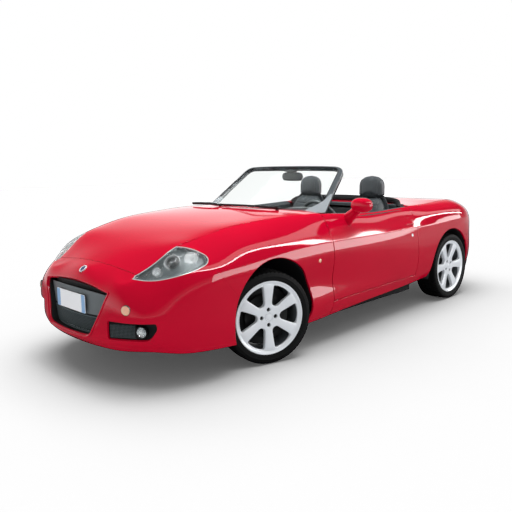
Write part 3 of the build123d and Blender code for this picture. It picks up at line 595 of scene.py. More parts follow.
halfBumper = [
    edge(baseRun(0, frontArch[0, 0]), 0, s["lipRadius"]),
    edge(frontArch[:archAt + 1], 0, s["archRadius"]),
    edge(seam, 0.12, s["seamRadius"]),
    edge(lampEdge[:lampAt + 1][::-1], 1.2, s["radius"]),
    edge(crestRun(lampEdge[0, 0], noseEndU), 1.2, s["radius"]),
    edge(noseUV[::-1], 0.6, s["noseRadius"])]
half = joinRuns(*halfBumper)[1:]
bumperLoop = np.concatenate([half, (half * (-1, 1, 1, 1))[::-1]])
mouthCorners = [(-380, 551), (-200, 569), (0, 575), (200, 569), (380, 551), (352, 480), (308, 402), (251, 293),
                (0, 287), (-251, 293), (-308, 402), (-352, 480)]
mouthFlat = softLoop(mouthCorners, (16, 60, 60, 60, 16, 40, 40, 46, 60, 46, 40, 40))


def pinned(flat, spot, run, rise, uRange, vRange):
    # Outline drawn in a plane at a spot, laid onto the body's skin along the plane's normal.
    axes = np.array([run, rise])
    target = np.asarray(spot) + np.asarray(flat) @ axes
    return locate(bodySurface, axes, target, uRange, vRange)


mouthUV = pinned(mouthFlat, (0, 0, 0), (0, 1, 0), (0, 0, 1), (-520, 520), (0, 660))
fogRun, fogAt = unit(np.array([-0.515, 0.857, 0])), np.array([1835.0, 548, 346])
fogCorners = [(-158, 58), (150, 58), (152, 20), (100, -50), (-158, -50)]
fogFlat = softLoop(fogCorners, (12, 12, 22, 34, 12), 7)
fogUV = pinned(fogFlat, fogAt, fogRun, (0, 0, 1), (200, 1000), (0, 400))
indicatorAt, indicatorRun = np.array([1850.0, 532, 475]), unit(np.array([-0.45, 0.893, 0]))
turnT = np.linspace(0, 2 * np.pi, 40, endpoint=False)
ringFlat = 29 * np.column_stack([np.cos(turnT), np.sin(turnT)])
indicatorUV = pinned(ringFlat, indicatorAt, indicatorRun, (0, 0, 1), (200, 1000), (150, 560))
mouthHole = edge(mouthUV, 0, shut["mouthRadius"])
fogHole, indicatorHole = edge(fogUV, 0, 3.0), edge(indicatorUV, 0, 1.5)
mirrorUV = np.array([-1, 1, 1, 1])

doorLoop = joinRuns(
    edge(densify([(u9, lipV), (u11, lipV)]), s["gap"], s["radius"]),
    edge(densify([(u11, lipV), (u11, crestV)]), s["gap"], s["radius"]),
    edge(crestRun(u11, u9), 0, s["topRadius"]),
    edge(densify([(u9, crestV), (u9, lipV)]), s["gap"], s["radius"]))

# Tail: the split between quarter and tail panel runs down through the lamp
tailSplitY, seamHeight = 560.0, 560.0
splitZ = np.linspace(560, 830, 36)
splitLine = locate(bodySurface, frontAxes, np.column_stack([splitZ * 0, splitZ * 0 + tailSplitY, splitZ]),
                   (halfGirth - 1000, halfGirth), (200, 760))
splitLine[:, 1] = np.minimum(splitLine[:, 1], crestV)
if (splitLine[:, 1] >= crestV).any():
    splitLine = splitLine[:int(np.argmax(splitLine[:, 1] >= crestV)) + 1]
if splitLine[-1, 1] < crestV:
    splitLine = np.concatenate([splitLine, [[splitLine[-1, 0], crestV]]])
tailRun, tailAt = unit(np.array([0.47, 0.883, 0])), np.array([-1885.0, 560, 660])
slotT = np.linspace(-np.pi / 2, np.pi / 2, 14)
slotFlat = np.concatenate([np.column_stack([77 + 47.5 * np.cos(slotT), 47.5 * np.sin(slotT)]),
                           np.column_stack([-77 - 47.5 * np.cos(slotT), -47.5 * np.sin(slotT)])])
tailSlotUV = pinned(densify(closeLoop(slotFlat), 7)[:-1], tailAt, tailRun, (0, 0, 1),
                    (halfGirth - 1000, halfGirth - 100), (300, 700))
onWing = bodySurface(tailSlotUV)[:, 1] > tailSplitY


def partOfLoop(loop, mask):
    # The one stretch of a closed loop where the mask holds, in order.
    starts = np.nonzero(mask & ~np.roll(mask, 1))[0]
    rolled, keep = np.roll(loop, -starts[0], 0), np.roll(mask, -starts[0])
    return rolled[:int(np.argmin(keep))] if not keep.all() else rolled


slotOuter, slotInner = partOfLoop(tailSlotUV, onWing), partOfLoop(tailSlotUV, ~onWing)
if slotOuter[0, 1] < slotOuter[-1, 1]:
    slotOuter = slotOuter[::-1]  # from the top of the split to its foot
if slotInner[0, 1] > slotInner[-1, 1]:
    slotInner = slotInner[::-1]  # from the foot to the top
splitTop = splitLine[splitLine[:, 1] > slotOuter[0, 1] + 6][::-1]
splitFoot = splitLine[splitLine[:, 1] < slotOuter[-1, 1] - 6][::-1]
rearSeamSide = sideGuess(np.array([-1600.0]), np.array([seamHeight]))[0]
seamU = np.arange(rearSeamSide[0], halfGirth + 1, 12.0)


def atHeight(u, z):
    # v where the skin stands at height z, for each u.
    v = np.full(len(u), 300.0)
    for _ in range(12):
        uv = np.column_stack([u, v])
        here = bodySurface(uv)[:, 2]
        slope = (bodySurface(uv + (0, 1)) - bodySurface(uv - (0, 1)))[:, 2] / 2
        v = v + (z - here) / slope
    return np.column_stack([u, v])


rearSeam = atHeight(seamU, seamHeight)
splitFootU = splitFoot[-1, 0]
wingSeam = atHeight(np.append(seamU[seamU < splitFootU - 4], splitFootU), seamHeight)
dropZ = np.linspace(seamHeight, 470, 14)
drop = sideGuess(np.full(14, -1600.0), dropZ)
rearAt, dropAt = meeting(rearArch, drop)
drop = np.concatenate([wingSeam[:1], drop[1:dropAt], rearArch[rearAt:rearAt + 1]])
rearWingLoop = joinRuns(
    edge(baseRun(u9, rearArch[0, 0]), 0, s["lipRadius"]),
    edge(rearArch[:rearAt + 1], 0, s["archRadius"]),
    edge(drop[::-1], 0.8, 1.0),
    edge(wingSeam, 0.8, 1.0),
    edge(splitFoot[::-1], 0.6, 0.8),
    edge(slotOuter[::-1], 0, 2.0),
    edge(splitTop[::-1], 0.6, 0.8),
    edge(crestRun(splitTop[0, 0], u11), 0, s["radius"]),
    edge(densify([(u11, crestV), (u11, lipV)]), s["gap"], s["radius"]),
    edge(densify([(u11, lipV), (u9, lipV)]), s["gap"], s["radius"]),
    edge(densify([(u9, lipV), (u9, 0)]), 0.3, 1.0))


def skinAt(uv):
    # Point and outward normal of the body's skin at one place.
    p, _, _, n = derivatives(bodySurface, uv)
    return p[0], n[0]


def onRight(label):
    # Name of the same thing on the right side of the car.
    return label.replace("left", "right") if label[-2:] != "_l" else label[:-2] + "_r"


def addPanel(name, loops, body, nodes=(), twin=False, surface=bodySurface, wall=panelWall, rows=(), mats=None,
             step=15.0):
    # Panel cut from a surface, with its mirror image where it has a twin.
    verts, groups = trimmed(surface, loops, wall, step, extraRows=rows)
    mats = mats or (paint, primer)
    piece = finishPiece(addMesh(name, verts, groups, mats), body, nodes)
    if twin:
        verts, groups = mirroredShell(verts, groups)
        finishPiece(addMesh(onRight(name), verts, groups, mats), onRight(body), [onRight(n) for n in nodes])
    return piece


creaseRows = (railAt[4], railAt[4] - 7, railAt[4] + 7)
addPanel("frontBumperSkin", [bumperLoop, mouthHole, fogHole, fogHole * mirrorUV, indicatorHole,
                             indicatorHole * mirrorUV],
         "body", ["front_bumper"], rows=creaseRows)
addPanel("leftFrontWing", [frontWingLoop], "body", ["front_wing_l"], twin=True, rows=creaseRows)
addPanel("leftDoorSkin", [doorLoop], "door_l", ["door_l"], twin=True, rows=creaseRows)
addPanel("leftRearWing", [rearWingLoop], "body", ["rear_wing_l"], twin=True, rows=creaseRows)
print("flanks ready")

# Tail panel and rear bumper span both sides, so their right halves are the left ones folded over
foldU = np.array([-1, 1, 1, 1])
foldBase = np.array([2 * halfGirth, 0, 0, 0])
halfTail = joinRuns(
    edge(crestRun(halfGirth, splitTop[0, 0]), 0, s["radius"]),
    edge(splitTop, 0.6, 0.8),
    edge(slotInner[::-1], 0, 2.0),
    edge(splitFoot, 0.6, 0.8),
    edge(atHeight(densify([(splitFootU, 320), (halfGirth, 320)])[:, 0], seamHeight), 0.8, 1.0))
halfTail = halfTail[1:]
tailLoop = np.concatenate([halfTail, (halfTail * foldU + foldBase)[::-1]])
addPanel("tailPanelSkin", [tailLoop], "body", ["tail_panel"], rows=creaseRows)
halfRear = joinRuns(
    edge(rearSeam[::-1], 0.8, 1.0),
    edge(drop[1:], 0.8, 1.0),
    edge(rearArch[rearAt:], 0, s["archRadius"]),
    edge(baseRun(rearArch[-1, 0], halfGirth), 0, s["lipRadius"]))
halfRear = halfRear[1:]
rearLoop = np.concatenate([halfRear, (halfRear * foldU + foldBase)[::-1]])
plateFlat = rounded([(-262, 398), (262, 398), (262, 512), (-262, 512)], 12)
plateUV = locate(bodySurface, frontAxes, np.column_stack([plateFlat[:, 0] * 0, plateFlat]),
                 (halfGirth - 600, halfGirth + 600), (60, 420))
addPanel("rearBumperSkin", [rearLoop, edge(plateUV, 0, 4.0)], "body", ["rear_bumper"])
print("tail ready")


def crestPlan(a, b, gap, radius, spacing=10.0):
    # Plan line under the crest rail from u = a to u = b, as an outline run.
    u = np.linspace(a, b, max(int(abs(b - a) / spacing), 2))
    return edge(bodySurface(np.column_stack([u, u * 0 + crestV]))[:, :2], gap, radius)


def crestAtX(x, low, high):
    # u where the crest rail crosses a given x.
    u = np.linspace(low, high, 4000)
    return u[np.argmin(np.abs(bodySurface(np.column_stack([u, u * 0 + crestV]))[:, 0] - x))]


lidGap, lidRadius = s["lidGap"], 2.5
arcY = np.linspace(1, -1, 130)
bonnetEndU = crestAtX(521, 600, u9)
bonnetEndY = bodySurface(np.array([[bonnetEndU, crestV]]))[0, 1]
bonnetArcX = lambda y, shift: -836 + np.sqrt(1526 ** 2 - y ** 2) + shift
bonnetRear = np.column_stack([bonnetArcX(arcY * bonnetEndY, 2.5), arcY * bonnetEndY])
noseRun = np.concatenate([noseLine[:0:-1] * (1, -1), noseLine])
bonnetLoop = joinRuns(crestPlan(-bonnetEndU, -noseEndU, lidGap, lidRadius),
                      edge(noseRun, s["noseGap"], s["noseRadius"]),
                      crestPlan(noseEndU, bonnetEndU, lidGap, lidRadius), edge(bonnetRear, 2.5, lidRadius))


def bonnetSkinSurface(uv):
    # The bonnet's surface, raised near its front edge to meet the bumper's skin there.
    p = bonnetSurface(uv)
    share = np.clip((uv[:, 0] - 1480) / (noseMiddle[0] - 1480), 0, 1.1)
    p[:, 2] += np.interp(np.abs(uv[:, 1]), noseY, noseLift) * share ** 3
    return p


bonnetWall = 24.0
addPanel("bonnetSkin", [bonnetLoop], "bonnet", ["bonnet"], surface=bonnetSkinSurface, wall=bonnetWall, step=18)
wellY = 440.6
wellArc = np.column_stack([-393 + np.sqrt(895 ** 2 - (arcY * wellY) ** 2), arcY * wellY])
scuttleLoop = joinRuns(
    edge(bonnetRear[::-1], 2.5, lidRadius),
    crestPlan(bonnetEndU, u9, 1.0, 1.5),
    edge([(386, bodySurface(np.array([[u9, crestV]]))[0, 1]), (386, wellY)], 0.5, 1.5),
    edge(wellArc, 0.5, 1.5),
    edge([(386, -wellY), (386, -bodySurface(np.array([[u9, crestV]]))[0, 1])], 0.5, 1.5),
    crestPlan(-u9, -bonnetEndU, 1.0, 1.5))
addPanel("scuttleSkin", [scuttleLoop], "body", ["scuttle"], surface=bonnetSurface, step=18)
deckFrontX, deckSplitX = -760.0, -1290.0
coverFrontU, coverRearU = crestAtX(deckFrontX, u11 - 100, u11 + 200), crestAtX(deckSplitX, u11 + 100, u11 + 1200)


def acrossRun(x, halfWidth, gap, direction):
    # Straight run across the car at x.
    y = np.linspace(halfWidth, -halfWidth, 90)[::direction]
    return edge(np.column_stack([y * 0 + x, y]), gap, lidRadius)


crestY = lambda u: bodySurface(np.array([[u, crestV]]))[0, 1]
coverLoop = joinRuns(
    crestPlan(coverFrontU, coverRearU, lidGap, lidRadius),
    acrossRun(deckSplitX, crestY(coverRearU), 2.5, 1),
    crestPlan(-coverRearU, -coverFrontU, lidGap, lidRadius),
    acrossRun(deckFrontX, crestY(coverFrontU), 0.5, -1))
addPanel("roofCoverSkin", [coverLoop], "tonneau_cover", ["tonneau_cover"], surface=deckSurface, wall=bonnetWall,
         step=18)
lidLoop = joinRuns(
    crestPlan(coverRearU, 2 * halfGirth - coverRearU, lidGap, lidRadius),
    acrossRun(deckSplitX, crestY(coverRearU), 2.5, -1))
addPanel("bootLidSkin", [lidLoop], "boot_lid", ["boot_lid"], surface=deckSurface, wall=bonnetWall, step=18)
print("lids ready")


# Shapes: lofts, sweeps and turned pieces
def revolved(profile, steps, close=True, wave=None):
    # Closed or open profile of (radius, y) carried round the Y axis. A wave changes radius and y by angle.
    profile = np.asarray(profile, float)
    t = np.linspace(0, 2 * np.pi, steps, endpoint=False)
    r = np.broadcast_to(profile[:, 0], (steps, len(profile)))
    y = np.broadcast_to(profile[:, 1], r.shape)
    if wave:
        r, y = wave(r, y, t[:, None])
    verts = np.stack([r * np.sin(t)[:, None], y, r * np.cos(t)[:, None]], 2).reshape(-1, 3)
    return verts, gridFaces(steps, len(profile), True, close)


def loft(rows, ring=True, capStart=True, capEnd=True, endless=False):
    # Skin over rows of points, closed round each row; the ends are closed by a fan about their middle.
    rows = np.asarray(rows, float)
    count, size = rows.shape[:2]
    verts = rows.reshape(-1, 3)
    faces = [gridFaces(count, size, endless, ring)]
    i = np.arange(size)
    if capStart and not endless:
        verts = np.vstack([verts, rows[0].mean(0)])
        faces.append(np.stack([i, (i + 1) % size, np.full(size, len(verts) - 1)], 1))
    if capEnd and not endless:
        verts = np.vstack([verts, rows[-1].mean(0)])
        j = i + (count - 1) * size
        faces.append(np.stack([(i + 1) % size + (count - 1) * size, j, np.full(size, len(verts) - 1)], 1))
    return verts, faces


def turned(profile, origin=(0, 0, 0), axis=(0, 1, 0), steps=48, endless=False):
    # Profile of (radius, height) turned about an axis at a place. It begins and ends on the axis, or is endless.
    verts, faces = revolved(profile, steps, endless)
    n = unit(np.array(axis, float))
    side = unit(np.cross(n, (0, 0, 1.0) if abs(n[2]) < 0.9 else (1.0, 0, 0)))
    top = np.cross(side, n)
    return verts[:, :1] * side + verts[:, 1:2] * n + verts[:, 2:] * top + np.asarray(origin, float), [faces]


def circle(rx, ry=None, count=12):
    # Flat ellipse of two half axes.
    t = np.linspace(0, 2 * np.pi, count, endpoint=False)
    return np.column_stack([rx * np.cos(t), (ry or rx) * np.sin(t)])


def softBox(halfX, halfY, count=28, power=4.0):
    # Superellipse: x and y raised to the power add up to one.
    t = np.linspace(0, 2 * np.pi, count, endpoint=False)
    c, q = np.cos(t), np.sin(t)
    return np.column_stack([halfX * np.sign(c) * np.abs(c) ** (2 / power),
                            halfY * np.sign(q) * np.abs(q) ** (2 / power)])


def smoothPath(points, count=40):
    # Cubic spline through the points, its parameter the distance along them.
    points = np.asarray(points, float)
    along = np.concatenate([[0], np.cumsum(np.linalg.norm(np.diff(points, axis=0), axis=1))])
    return spline(along, points, np.linspace(0, along[-1], count))


def sweep(path, section, scale=None, up=(0, 0, 1), endless=False):
    # Section of (across, up) carried along a path and square to it; the scale changes it on the way.
    path = np.asarray(path, float)
    ahead = np.roll(path, -1, 0) - np.roll(path, 1, 0) if endless else np.gradient(path, axis=0)
    d = unit(ahead)
    side = unit(np.cross(d, np.asarray(up, float)))
    top = np.cross(side, d)
    k = np.ones((len(path), 2)) if scale is None else np.broadcast_to(np.asarray(scale, float).T, (2, len(path))).T
    rows = path[:, None] + section[None, :, :1] * k[:, None, :1] * side[:, None] \
        + section[None, :, 1:] * k[:, None, 1:] * top[:, None]
    return loft(rows, endless=endless)


def enclosed(verts, faces):
    # Six times the volume that a closed shell holds: negative where its faces point inwards.
    total = 0.0
    middle = verts.mean(0)
    for f in faces:
        q = verts[f] - middle
        for k in range(1, q.shape[1] - 1):
            total += (q[:, 0] * np.cross(q[:, k], q[:, k + 1])).sum()
    return total


def addSolid(name, parts, mats, body, nodes=(), sharp=38, twin=False):
    # Closed shells as one piece, each turned to face outwards, with a mirror image where it has a twin.
    made = []
    sides = [(name, 1, body, nodes), (onRight(name), -1, onRight(body), [onRight(n) for n in nodes])]
    for label, flipY, rides, stands in sides[:1 + twin]:
        verts, groups, start = [], [], 0
        for v, faces, m in parts:
            v = v * (1, flipY, 1)
            inwards = enclosed(v, faces) < 0
            groups += [(f[:, ::-1] + start if inwards else f + start, None, m) for f in faces]
            verts.append(v)
            start += len(v)
        piece = addMesh(label, np.concatenate(verts), groups, mats)
        work = bmesh.new()
        work.from_mesh(piece.data)
        bmesh.ops.remove_doubles(work, verts=work.verts, dist=2e-6)
        work.to_mesh(piece.data)
        work.free()
        piece.data.set_sharp_from_angle(angle=np.radians(sharp))
        made.append(finishPiece(piece, rides, stands))
    return made[0]


# Wheels and tyres
def placedAt(verts, side, centre, steer=0.0, turn=0.0):
    # Wheel points turned about the axle, set on the left or right, steered and moved to the hub;
    # those of a front wheel first go outwards by its own offset.
    c, s1 = np.cos(turn), np.sin(turn)
    x, y, z = (verts + np.array([0, w["frontOffset"] if steer else 0, 0])).T
    x, y, z = c * x + s1 * z, side * y, c * z - s1 * x
    c, s1 = np.cos(steer), np.sin(steer)
    return np.column_stack([c * x - s1 * y, s1 * x + c * y, z]) + centre


wheel = {"spokes": 6, "faceRadius": 214.0, "hub": 74.0, "rimFace": 84.0, "windowIn": 84.0, "windowOut": 205.0,
         "halfIn": 20.0, "halfOut": 68.0, "boltCircle": 49.0, "boltHole": 13.0, "spokeDepth": 30.0,
         "crown": 3.5, "tread": 100.0, "radius": 297.0, "blocks": 60, "frontOffset": 62.0, "steer": -17.0,
         "rearTurn": 30.0, "lipFrom": 76.0}
w = wheel


def wheelFace(uv):
    # Face of the rim: rises from the hub to the rim on the square of the radius, each spoke crowned
    # across by a cosine of the angle.
    z, x = uv[:, 0], uv[:, 1]
    r = np.hypot(x, z)
    angle = np.arctan2(x, z)
    ease = np.clip((r - 70) / 90, 0, 1) * np.clip((w["faceRadius"] - r) / 20, 0, 1)
    dish = w["hub"] + (w["rimFace"] - w["hub"]) * (r / w["faceRadius"]) ** 2
    y = dish + w["crown"] * ease * np.cos(w["spokes"] * angle)
    return np.column_stack([x, y, z])


def window(k):
    # Opening between two spokes: a fan shape whose outer side follows the rim.
    t0 = np.arcsin(w["halfOut"] / w["windowOut"])
    arc = np.linspace(t0, -t0, 9)
    outer = np.column_stack([w["windowOut"] * np.cos(arc), w["windowOut"] * np.sin(arc)])
    inner = [(w["windowIn"], -w["halfIn"]), (w["windowIn"] - 5, 0), (w["windowIn"], w["halfIn"])]
    points = np.concatenate([outer, inner])
    radii = [16, *[2] * 7, 16, 17, 3, 17]
    loop = softLoop(points, radii, 6)
    a = np.radians(30 + 60 * k)
    turnBy = np.array([[np.cos(a), np.sin(a)], [-np.sin(a), np.cos(a)]])
    return edge(loop @ turnBy, 0, 6.0)


ringT = np.linspace(0, 2 * np.pi, 120, endpoint=False)
ringOf = lambda r, count=120: np.column_stack([r * np.cos(ringT[::120 // count]), r * np.sin(ringT[::120 // count])])
faceLoops = [edge(ringOf(w["faceRadius"]), 0, 1.0)] + [window(k) for k in range(w["spokes"])]
faceLoops.append(edge(ringOf(27.5, 40), 0, 1.2))
for k in range(4):
    a = np.pi / 2 * k
    faceLoops.append(edge(ringOf(w["boltHole"], 24) + w["boltCircle"] * np.array([np.cos(a), np.sin(a)]), 0, 2.5))
faceVerts, faceGroups = trimmed(wheelFace, faceLoops, w["spokeDepth"], 9)
barrel = [(214.5, 84), (219, 85), (225, 88.5), (230, 92), (235, 92), (236.5, 88), (234, 84), (226, 78), (223, 70),
          (222, 0), (222, -70), (226, -80), (236, -84), (236, -92), (230, -92), (218, -82), (214, -70), (208, 0),
          (206, 56), (211, 74), (213.5, 82)]
barrelVerts, barrelFaces = revolved(barrel, 144)
# Faces inward of the lip take the barrel's painted shade; the lip itself stays silver
onLip = barrelVerts[barrelFaces].mean(1)[:, 1] > w["lipFrom"]
lipFaces, shadedInnerFaces = barrelFaces[onLip], barrelFaces[~onLip]
capProfile = [(0.01, 76.5), (12, 76.3), (17, 75.6), (18.5, 74.4), (20, 75.4), (24.5, 75), (26.5, 73), (26.5, 60),
              (0.01, 60)]
capVerts, capFaces = revolved(capProfile, 48)
boltProfile = [(0.01, 64), (5.5, 64), (6, 67), (9, 67), (9.5, 60), (13, 58), (16, 58), (16, 50), (0.01, 50)]
boltVerts, boltFaces = revolved(boltProfile, 6 * 4)
boltVerts = np.concatenate([boltVerts + (w["boltCircle"] * np.sin(a), 0, w["boltCircle"] * np.cos(a))
                            for a in np.pi / 2 * np.arange(4)])
boltFaces = np.concatenate([boltFaces + k * len(boltVerts) // 4 for k in range(4)])


def treadWave(r, y, t):
    # Cross grooves in the shoulders and sipes in the middle blocks, cut into the tread by angle.
    turns = w["blocks"] * t / (2 * np.pi) + 0.35 * np.sin(y / 22) + np.where(y > 0, 0.5, 0)
    groove = np.abs(turns % 1 - 0.5) > 0.40
    on = (r > 286) & (np.abs(y) < 99)
    shoulder = np.abs(y) > 57
    depth = np.where(on & groove, np.where(shoulder, 5.5, 3.0), 0)
    return r - depth, y


side0 = [(223, 80), (229, 86), (238, 92), (241, 94.5), (243, 94.2), (250, 97.5), (252, 97), (262, 99.5), (266, 100),
         (267, 99.2), (275, 99), (281, 97.5)]
crown0 = [(285, 96.5), (289, 93.5), (292, 88), (293.6, 80), (294.6, 68), (295.2, 60)]
grooveAt = [(295.3, 52.5), (289, 51.5), (289, 44.5), (295.6, 43.5), (296.4, 30), (296.6, 22), (290, 21), (290, 13),
            (296.9, 12), (297, 4)]
outerHalf = side0 + crown0 + grooveAt
tyreProfile = outerHalf + [(r, -y) for r, y in outerHalf[::-1]] + [(222.4, -60), (222.4, 60)]
tyreVerts, tyreFaces = revolved(tyreProfile, 480, wave=treadWave)
tyreVerts[:, 1] *= w["tread"] / 100.2


def reversedIf(side, groups):
    # A mirrored piece has its faces turned so that they still point outwards.
    if side > 0:
        return groups
    return [(np.asarray(f)[:, ::-1], None if n is None else n[:, ::-1], m) for f, n, m in groups]


# Barrel: the same silver casting, in a darker grey that is painted shade for the shade it lies in behind the face
barrelPaintedShade = newMaterial("silverAluminiumPaintedShade", "4A4E52", 0.5, 0.3,
                         grain=(6, 0.02, ("44484B", "54585C"), (0.45, 0.6)))


# Brake: vented disc on the hub, shield and caliper held by what carries the wheel
discVerts, discFaces = revolved([(52, 62), (74, 62), (76, 26), (90, 20), (92, 17), (140, 17), (140, 10), (132, 9),
                                 (132, 4), (140, 3), (140, -5), (52, -5)], 96)
shieldVerts, shieldFaces = revolved([(62, -11), (184, -11), (188, -7), (190, -7), (190, -10), (187, -14), (62, -14)],
                                    72)
jaw = np.array([(98, 22), (98, 33), (104, 37), (152, 37), (158, 31), (158, -8), (152, -10), (98, -10), (98, -7),
                (145, -7), (145, 22)])
jawAngle = np.radians(180 + np.array([-24, -22, -12, 0, 12, 22, 24]))[:, None]
jawSize = np.array([0.97, 1, 1, 1, 1, 1, 0.97])[:, None]
jawRadius = 128 + (jaw[:, 0] - 128) * jawSize
jawRows = np.stack([jawRadius * np.cos(jawAngle), np.broadcast_to(jaw[:, 1], jawRadius.shape),
                    jawRadius * np.sin(jawAngle)], 2)


def addBrake(tag, side, centre, body, steer=0.0):
    # Shield and caliper, placed like their wheel but not turned with it.
    caliperVerts, caliperFaces = loft(jawRows)
    addSolid(tag + "Brake", [(placedAt(shieldVerts, side, centre, steer), [shieldFaces], 0),
                             (placedAt(caliperVerts, side, centre, steer), caliperFaces, 1)],
             (blackTrim, discPaintedShade), body)


def addWheel(tag, side, centre, body, steer=0.0, turn=0.0):
    # One wheel: face, barrel, cap and bolts in one piece, and its tyre.
    parts = [(faceVerts, faceGroups, 0), (barrelVerts, [(lipFaces, None, 0)], 0),
             (barrelVerts, [(shadedInnerFaces, None, 2)], 2), (capVerts, [(capFaces, None, 0)], 0),
             (boltVerts, [(boltFaces, None, 1)], 1), (discVerts, [(discFaces, None, 3)], 3)]
    verts, groups, start = [], [], 0
    for v, g, m in parts:
        verts.append(placedAt(v, side, centre, steer, turn))
        groups += [(np.asarray(f) + start, None, m) for f, n, _ in g]
        start += len(v)
    # The barrel's inner faces and the disc are painted dark as shade
    rim = addMesh(tag + "Rim", np.concatenate(verts), reversedIf(side, groups), (silver, blackTrim, barrelPaintedShade, discPaintedShade))
    rim.data.set_sharp_from_angle(angle=np.radians(32))
    finishPiece(rim, body, ["rim_" + tag])
    spot = placedAt(tyreVerts, side, centre, steer, turn)
    tyre = addMesh(tag + "Tyre", spot, reversedIf(side, [(tyreFaces, None, 0)]), (rubber,))
    tyre.data.set_sharp_from_angle(angle=np.radians(40))
    finishPiece(tyre, body, ["tyre_" + tag])


steerAngle, rearAngle = np.radians(w["steer"]), np.radians(w["rearTurn"])
corners = (("fl", 1, (958, 640, 297), steerAngle, "steer_l"), ("fr", -1, (958, -640, 297), steerAngle, "steer_r"),
           ("rl", 1, (-1317, 702, 297), 0.0, "body"), ("rr", -1, (-1317, -702, 297), 0.0, "body"))
for tag, side, centre, steer, _ in corners:
    addWheel(tag, side, centre, "wheel_" + tag, steer, 0.0 if steer else rearAngle)
for tag, side, centre, steer, carrier in corners:
    addBrake(tag, side, centre, carrier, steer)


# Arch liners: a pressed shell round each wheel, open below
def addLiner(name, cx, cz, radius, yIn, yOut, span):
    # Rings about the axle's line, the radius ribbed by a sine across the car, with a mirrored twin.
    t = np.radians(np.linspace(*span, 60))
    outer = yOut - 75 * np.maximum(0, -np.sin(t))  # drawn in where the flank tucks under
    rows = []
    for r, a, b in ((radius, 1, 0), (radius + 5, 0, 1)):
        for q in np.linspace(a, b, 12):
            y = yIn + (outer - yIn) * q
            ripple = 1.5 * np.sin(y / 9.0)
            rows.append(np.column_stack([cx + (r + ripple) * np.cos(t), y, cz + (r + ripple) * np.sin(t)]))
    verts = np.stack(rows, 1).reshape(-1, 3)
    for sideName, flipY in (("left", 1), ("right", -1)):
        faces = gridFaces(len(t), len(rows), False, True)
        piece = addMesh(sideName + name, verts * (1, flipY, 1), [(faces[:, ::flipY], None, 0)], (blackTrim,))
        finishPiece(piece, "body")


addLiner("FrontLiner", 958, 330, 349, 470, 776, (-23, 204))
addLiner("RearLiner", -1317, 303, 349, 470, 778, (-13, 190))
print("wheels ready")

# Headlamps: clear cover in line with the skin, a satin bezel behind it and three reflector bowls
lamp = {"coverWall": 3.5, "bezelEdge": 8.0, "bezelDeep": 34.0, "bezelRun": 30.0,
        "bowls": [(80, 4, 23, 26), (-18, -6, 45, 44), (-124, 10, 37, 36)]}
chrome = newMaterial("satinMetallisedBezel", "5E6668", 0.3, 0.5, grain=(30, 0.1, ("525A5C", "6A7274"), (0.24, 0.36)),
                     Coat_Weight=0.3)
bulb = newMaterial("bulbQuartz", "E9EEF0", 0.08, grain=(9, 0.05, ("DDE4E8", "F3F6F7")), IOR=1.46, Coat_Weight=1.0)
darkGlass = newMaterial("smokedGlass", "22272A", 0.06, grain=(20, 0.02, ("1C2124", "2A2F32")), Coat_Weight=1.0)
# Lamp bowls: metallised, but part diffuse in near white as painted reflection, bright where a real mirror would show
# the dark lamp
bowlPaintedReflection = newMaterial("lampBowlPaintedReflection", "EEF2F3", 0.22, 0.35, grain=(9, 0.3, ("E2E7E9", "FAFBFB"), (0.15, 0.3)),
                        Coat_Weight=1.0)
coverLoopLamp = joinRuns(edge(lampEdge, 0.9, 1.0), edge(crestRun(lampEdge[-1, 0], lampEdge[0, 0]), 1.4, 1.0))
addPanel("leftHeadlampCover", [coverLoopLamp], "body", ["headlamps"], twin=True,
         wall=lamp["coverWall"], mats=(lampClear, lampClear), step=12)
outlineSeen = bodySurface(coverLoopLamp[:, :2])


def bezelSurface(uv):
    # The skin sunk along the lamp's axis: a little at the outline, deeper with distance from it.
    p = bodySurface(uv)
    near = np.full(len(p), 1e9)
    for start in range(0, len(outlineSeen), 30):
        part = outlineSeen[start:start + 30]
        near = np.minimum(near, np.linalg.norm(p[:, None] - part[None], axis=2).min(1))
    t = np.clip(near / lamp["bezelRun"], 0, 1)
    deep = lamp["bezelEdge"] + (lamp["bezelDeep"] - lamp["bezelEdge"]) * t * t * (3 - 2 * t)
    return p - lampZ * deep[:, None]


bezelLoops = [edge(coverLoopLamp, 1.5, 1.0)]
lampAxis = unit(lampZ + np.array([0.25, 0, -0.05]))


def onCover(flat, spot):
    # Outline drawn at a spot of the lamp's plane, laid onto the body's skin.
    return pinned(flat, spot, lampX, lampY, (100, 1200), (300, 790))


bowlParts = []
for fx, fy, radius, deep in lamp["bowls"]:
    spot = lampOrigin + np.array([fx, fy]) @ lampAxes
    ring = onCover(circle(radius, count=36), spot)
    bezelLoops.append(edge(ring, 0, 2.0))
    centre = bezelSurface(onCover(np.array([[0.0, 0.0]]), spot))[0]
    r = np.linspace(1, 0.16, 9)
    bowl = [(0, -deep - 3), (radius * 0.5, -deep - 2), (radius + 2, -3), (radius + 3, 0), (radius + 1.5, 1.5),
            (radius, 0.5)]
    bowl += [(radius * q, -deep * (1 - q * q)) for q in r] + [(0, -deep)]
    bowlParts.append((*turned(bowl, centre, lampAxis), 0))
    tipAt = -deep * 0.25
    bulbProfile = [(0, -deep), (5, -deep), (5, tipAt - 8), (4.2, tipAt - 3), (2.5, tipAt - 0.6), (0, tipAt)]
    bowlParts.append((*turned(bulbProfile, centre, lampAxis, 20), 1))
big = lamp["bowls"][1]
spot = lampOrigin + np.array(big[:2]) @ lampAxes
centre = bezelSurface(onCover(np.array([[0.0, 0.0]]), spot))[0]
lensR = big[2] * 0.66
dome = [(lensR * np.cos(a), -9 + 13 * np.sin(a)) for a in np.linspace(0, np.pi / 2, 8)]
dome[-1] = (0, 4)
